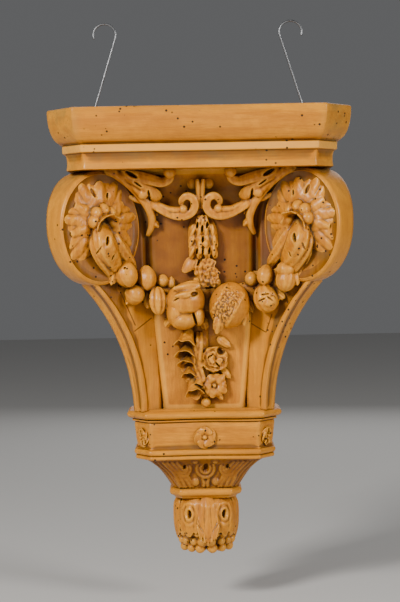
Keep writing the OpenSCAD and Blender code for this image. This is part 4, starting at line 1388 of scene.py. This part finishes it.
def wood(name, grain=(0, 0, 1), painted_shade_and_patina=0.0, span=(0.0, 0.19), joints=(), edge_wear_and_highlight=0.42, pale=None,
         shade=0.70):
    """Waxed wood whose grain runs along one axis. The strength of the painted shade and patina
    darkens and reddens it between the two heights of span; the strength of the edge wear and
    highlight lightens the edges that stand out, as wear and a painted highlight; shade sets the
    painted shade of the deep places, and pale is a pair of heights between which the wood is
    lighter. Joints are thin dark lines, at the places where the distance across a line is small."""
    material = bpy.data.materials.new(name)
    material.use_nodes = True
    tree = material.node_tree
    shader = tree.nodes["Principled BSDF"]
    place = node(tree, "ShaderNodeTexCoord", output=3)

    def scaled(x, y, z):
        return node(tree, "ShaderNodeMapping", {"vector_type": "POINT"}, {0: place, 3: (x, y, z)})

    def noise(vector, scale, detail=4.0, rough=0.55):
        return node(tree, "ShaderNodeTexNoise", {}, {"Vector": vector, "Scale": scale, "Detail": detail,
                                                     "Roughness": rough})

    along = scaled(*(0.09 if g else 1.0 for g in grain))
    fine = noise(along, 900.0, 5.0, 0.6).over(0.35, 0.7)
    streak = noise(along, 130.0, 6.0, 0.66).over(0.36, 0.66)
    patch = noise(place, 22.0, 4.0).over(0.35, 0.7)
    mottle = noise(place, 75.0, 5.0, 0.65).over(0.35, 0.72)

    # Ambient occlusion and the sunk relief give the masks of the painted shade in the hollows, the deep
    # places and the creases.
    occlusion = node(tree, "ShaderNodeAmbientOcclusion", {"samples": 6}, {"Distance": 0.016}, output=1)
    close = node(tree, "ShaderNodeAmbientOcclusion", {"samples": 6}, {"Distance": 0.045}, output=1)
    hollow = 1 - occlusion.over(0.18, 0.82)
    deep = 1 - close.over(0.08, 0.85)
    relief = node(tree, "ShaderNodeAttribute", {"attribute_name": "relief"}, output=2)
    crease = (relief * -1).over(0.03, 0.30)
    # The edges that stand out, for wear and a painted highlight.
    standing_out = relief.over(0.05, 0.35)

    base = blend(tree, streak * 0.75, LIGHT, MIDDLE)
    base = blend(tree, fine * 0.22, base, DARK)
    base = blend(tree, patch * 0.48, base, (0.46, 0.142, 0.004))
    base = blend(tree, mottle * 0.34, base, (0.42, 0.125, 0.006))
    # Painted shade darkens the deep places, the hollows and the creases; in the hollows it stands for wax and
    # dust as well.
    base = blend(tree, deep * shade, base, DARK)
    base = blend(tree, hollow * (0.50 + mottle * 0.35), base, (0.060, 0.018, 0.003))
    base = blend(tree, crease * 0.62, base, (0.040, 0.012, 0.002))
    # The edges that stand out are lightened, as wear and as a painted highlight.
    base = blend(tree, standing_out * edge_wear_and_highlight, base, (0.90, 0.44, 0.05))

    x = node(tree, "ShaderNodeSeparateXYZ", {}, [place], output=0)
    z = node(tree, "ShaderNodeSeparateXYZ", {}, [place], output=2)
    if pale:
        inside = z.over(pale[0] - 0.001, pale[0]) * (1 - z.over(pale[1], pale[1] + 0.001))
        base = blend(tree, inside * 0.6, base, (0.98, 0.46, 0.07))
    # Painted shade and patina: the wood is darker and redder between the two heights of span.
    if painted_shade_and_patina:
        rising = z.over(span[0], span[0] + 0.085)
        falling = 1 - z.over(span[1] - 0.04, span[1])
        shaded = rising * falling * (0.72 + patch * 0.28)
        base = blend(tree, shaded * painted_shade_and_patina, base, (0.16, 0.046, 0.003))
    for x0, z0, x1, z1 in joints:
        long = math.hypot(x1 - x0, z1 - z0)
        run = ((x1 - x0) / long, (z1 - z0) / long)
        across = ((x - x0) * run[1] - (z - z0) * run[0]).math("ABSOLUTE")
        along_it = (x - x0) * run[0] + (z - z0) * run[1]
        begun = along_it.over(-0.001, 0.001)
        ended = along_it.over(long - 0.001, long)
        line = (1 - across.over(0.0003, 0.0009)) * begun * (1 - ended)
        base = blend(tree, line * 0.8, base, (0.05, 0.012, 0.002))

    normal = node(tree, "ShaderNodeNewGeometry", output=1)
    up = node(tree, "ShaderNodeSeparateXYZ", {}, [normal], output=2)
    grime = noise(place, 38.0, 6.0, 0.7).over(0.46, 0.68)
    dust = up.over(0.15, 0.95) * (0.25 + deep) * grime
    base = blend(tree, dust.math("MINIMUM", 1.0) * 0.5, base, (0.19, 0.13, 0.035))
    soot = (deep + (relief * -1).over(0.0, 0.2)) * noise(place, 26.0, 5.0, 0.7).over(0.46, 0.66)
    base = blend(tree, soot.math("MINIMUM", 1.0) * 0.36, base, (0.15, 0.105, 0.035))
    corner = x.math("ABSOLUTE").over(0.122, 0.150) * z.over(0.150, 0.19) * (0.35 + grime * 0.65)
    base = blend(tree, corner * 0.60, base, (0.26, 0.17, 0.045))

    cells = {"feature": "F1", "voronoi_dimensions": "3D"}
    near = node(tree, "ShaderNodeTexVoronoi", cells, {"Vector": place, "Scale": 120.0, "Randomness": 1.0})
    right = x.over(-0.10, 0.09)
    swarm = noise(place, 14.0, 2.0).over(0.47, 0.60) * (0.33 + right * 0.67)
    hole = (1 - near.over(0.140, 0.165)) * swarm.over(0.24, 0.32)
    base = blend(tree, hole * 0.97, base, (0.008, 0.004, 0.002))

    tree.links.new(base.socket, shader.inputs["Base Color"])
    gloss = 0.35 + mottle * 0.16 + hollow * 0.30 + deep * 0.15 + hole * 0.3 - standing_out * 0.06
    tree.links.new(gloss.socket, shader.inputs["Roughness"])
    shader.inputs["Specular IOR Level"].default_value = 0.30
    tree.links.new(((1 - deep) * 0.10).socket, shader.inputs["Coat Weight"])
    shader.inputs["Coat Roughness"].default_value = 0.22
    height = fine * 0.10 + streak * 0.12 + mottle * 0.30 - hole * 3.0
    bump = node(tree, "ShaderNodeBump", {}, {"Strength": 0.35, "Distance": 0.0006, "Height": height})
    tree.links.new(bump.socket, shader.inputs["Normal"])
    return material


def steel(name, colour, rough):
    """Drawn wire: bright metal with faint smudges."""
    material = bpy.data.materials.new(name)
    material.use_nodes = True
    tree = material.node_tree
    shader = tree.nodes["Principled BSDF"]
    place = node(tree, "ShaderNodeTexCoord", output=3)
    smudge = node(tree, "ShaderNodeTexNoise", {},
                  {"Vector": place, "Scale": 180.0, "Detail": 4.0}).over(0.3, 0.75)
    base = blend(tree, smudge * 0.35, linear(*colour), linear(*(c * 0.72 for c in colour)))
    tree.links.new(base.socket, shader.inputs["Base Color"])
    tree.links.new((rough + smudge * 0.16).socket, shader.inputs["Roughness"])
    shader.inputs["Metallic"].default_value = 1.0
    return material


# Every wood carries painted shade in its hollows and a painted highlight on its edges; the panel and the bell
# also carry painted shade and patina between two heights.
grain_across = wood("waxed wood, grain across", (1, 0, 0), edge_wear_and_highlight=0.15, pale=(0.207, 0.2135),
                    shade=0.45)
grain_up = wood("waxed wood, grain upright", joints=JOINTS, edge_wear_and_highlight=0.15, shade=0.15)
panel_wood = wood("waxed wood, panel", painted_shade_and_patina=0.9)
bell_wood = wood("waxed wood, reddish", painted_shade_and_patina=0.7, span=(-0.40, -0.10))
ornament_wood = wood("waxed wood, carved")
hook_steel = steel("drawn steel", (128, 130, 133), 0.34)
eye_steel = steel("dull steel", (150, 150, 150), 0.42)

ACROSS = ("moulded_shelf", "foot_mouldings", "neck_bead")
PLAIN = ("console_left", "console_right", "volute_left", "volute_right")
for obj in bpy.context.scene.objects:
    if obj.type != "MESH" or obj.name in frame["nodes"]:
        continue
    if obj.name.startswith("s_hook"):
        skin = hook_steel
    elif obj.name.startswith("eye_"):
        skin = eye_steel
    elif obj.name in ACROSS:
        skin = grain_across
    elif obj.name == "body_block":
        skin = panel_wood
    elif obj.name == "bell_leaves":
        skin = bell_wood
    else:
        skin = grain_up if obj.name in PLAIN else ornament_wood
    obj.data.materials.clear()
    obj.data.materials.append(skin)
print("materials", len(bpy.data.materials))

# %% [markdown]
# ## Floor and light
# A plain pale floor well below the bracket, a large soft light from the upper left, and a
# weaker one from the right that glances off the waxed shelf.

# %% Floor and lights
FLOOR_Z = corbel_low[2] - 60
floor_mesh = bpy.data.meshes.new("floor")
half = 6.0                           # in metres, as are the lights below
floor_mesh.from_pydata([(-half, -half, FLOOR_Z * MM), (half, -half, FLOOR_Z * MM), (half, half, FLOOR_Z * MM),
                        (-half, half, FLOOR_Z * MM)], [], [(0, 1, 2, 3)])
floor = bpy.data.objects.new("floor", floor_mesh)
bpy.context.scene.collection.objects.link(floor)
paint = bpy.data.materials.new("pale floor")
paint.use_nodes = True
paint.node_tree.nodes["Principled BSDF"].inputs["Base Color"].default_value = (0.62, 0.61, 0.59, 1)
paint.node_tree.nodes["Principled BSDF"].inputs["Roughness"].default_value = 0.85
floor.data.materials.append(paint)

world = bpy.data.worlds.new("studio")
bpy.context.scene.world = world
world.use_nodes = True
world.node_tree.nodes["Background"].inputs[0].default_value = (0.80, 0.81, 0.83, 1)
world.node_tree.nodes["Background"].inputs[1].default_value = 0.15


def soft_light(name, place, size, power, colour=(1, 1, 1)):
    """A square area light that faces the middle of the bracket."""
    light = bpy.data.lights.new(name, "AREA")
    light.size, light.energy, light.color = size, power, colour
    obj = bpy.data.objects.new(name, light)
    bpy.context.scene.collection.objects.link(obj)
    obj.location = place
    towards = np.array([0, -0.06, 0.06]) - np.array(place)
    obj.rotation_euler = Vector(towards).to_track_quat("-Z", "Y").to_euler()
    return obj


soft_light("upper left", (-1.30, -1.9, 1.1), 0.5, 68, (1.0, 0.97, 0.93))
soft_light("right", (1.75, -1.5, 0.75), 0.6, 32, (1.0, 0.98, 0.95))
soft_light("low front", (-0.2, -2.4, -0.6), 1.0, 11)
soft_light("back", (0.3, 1.9, 0.9), 1.6, 8)
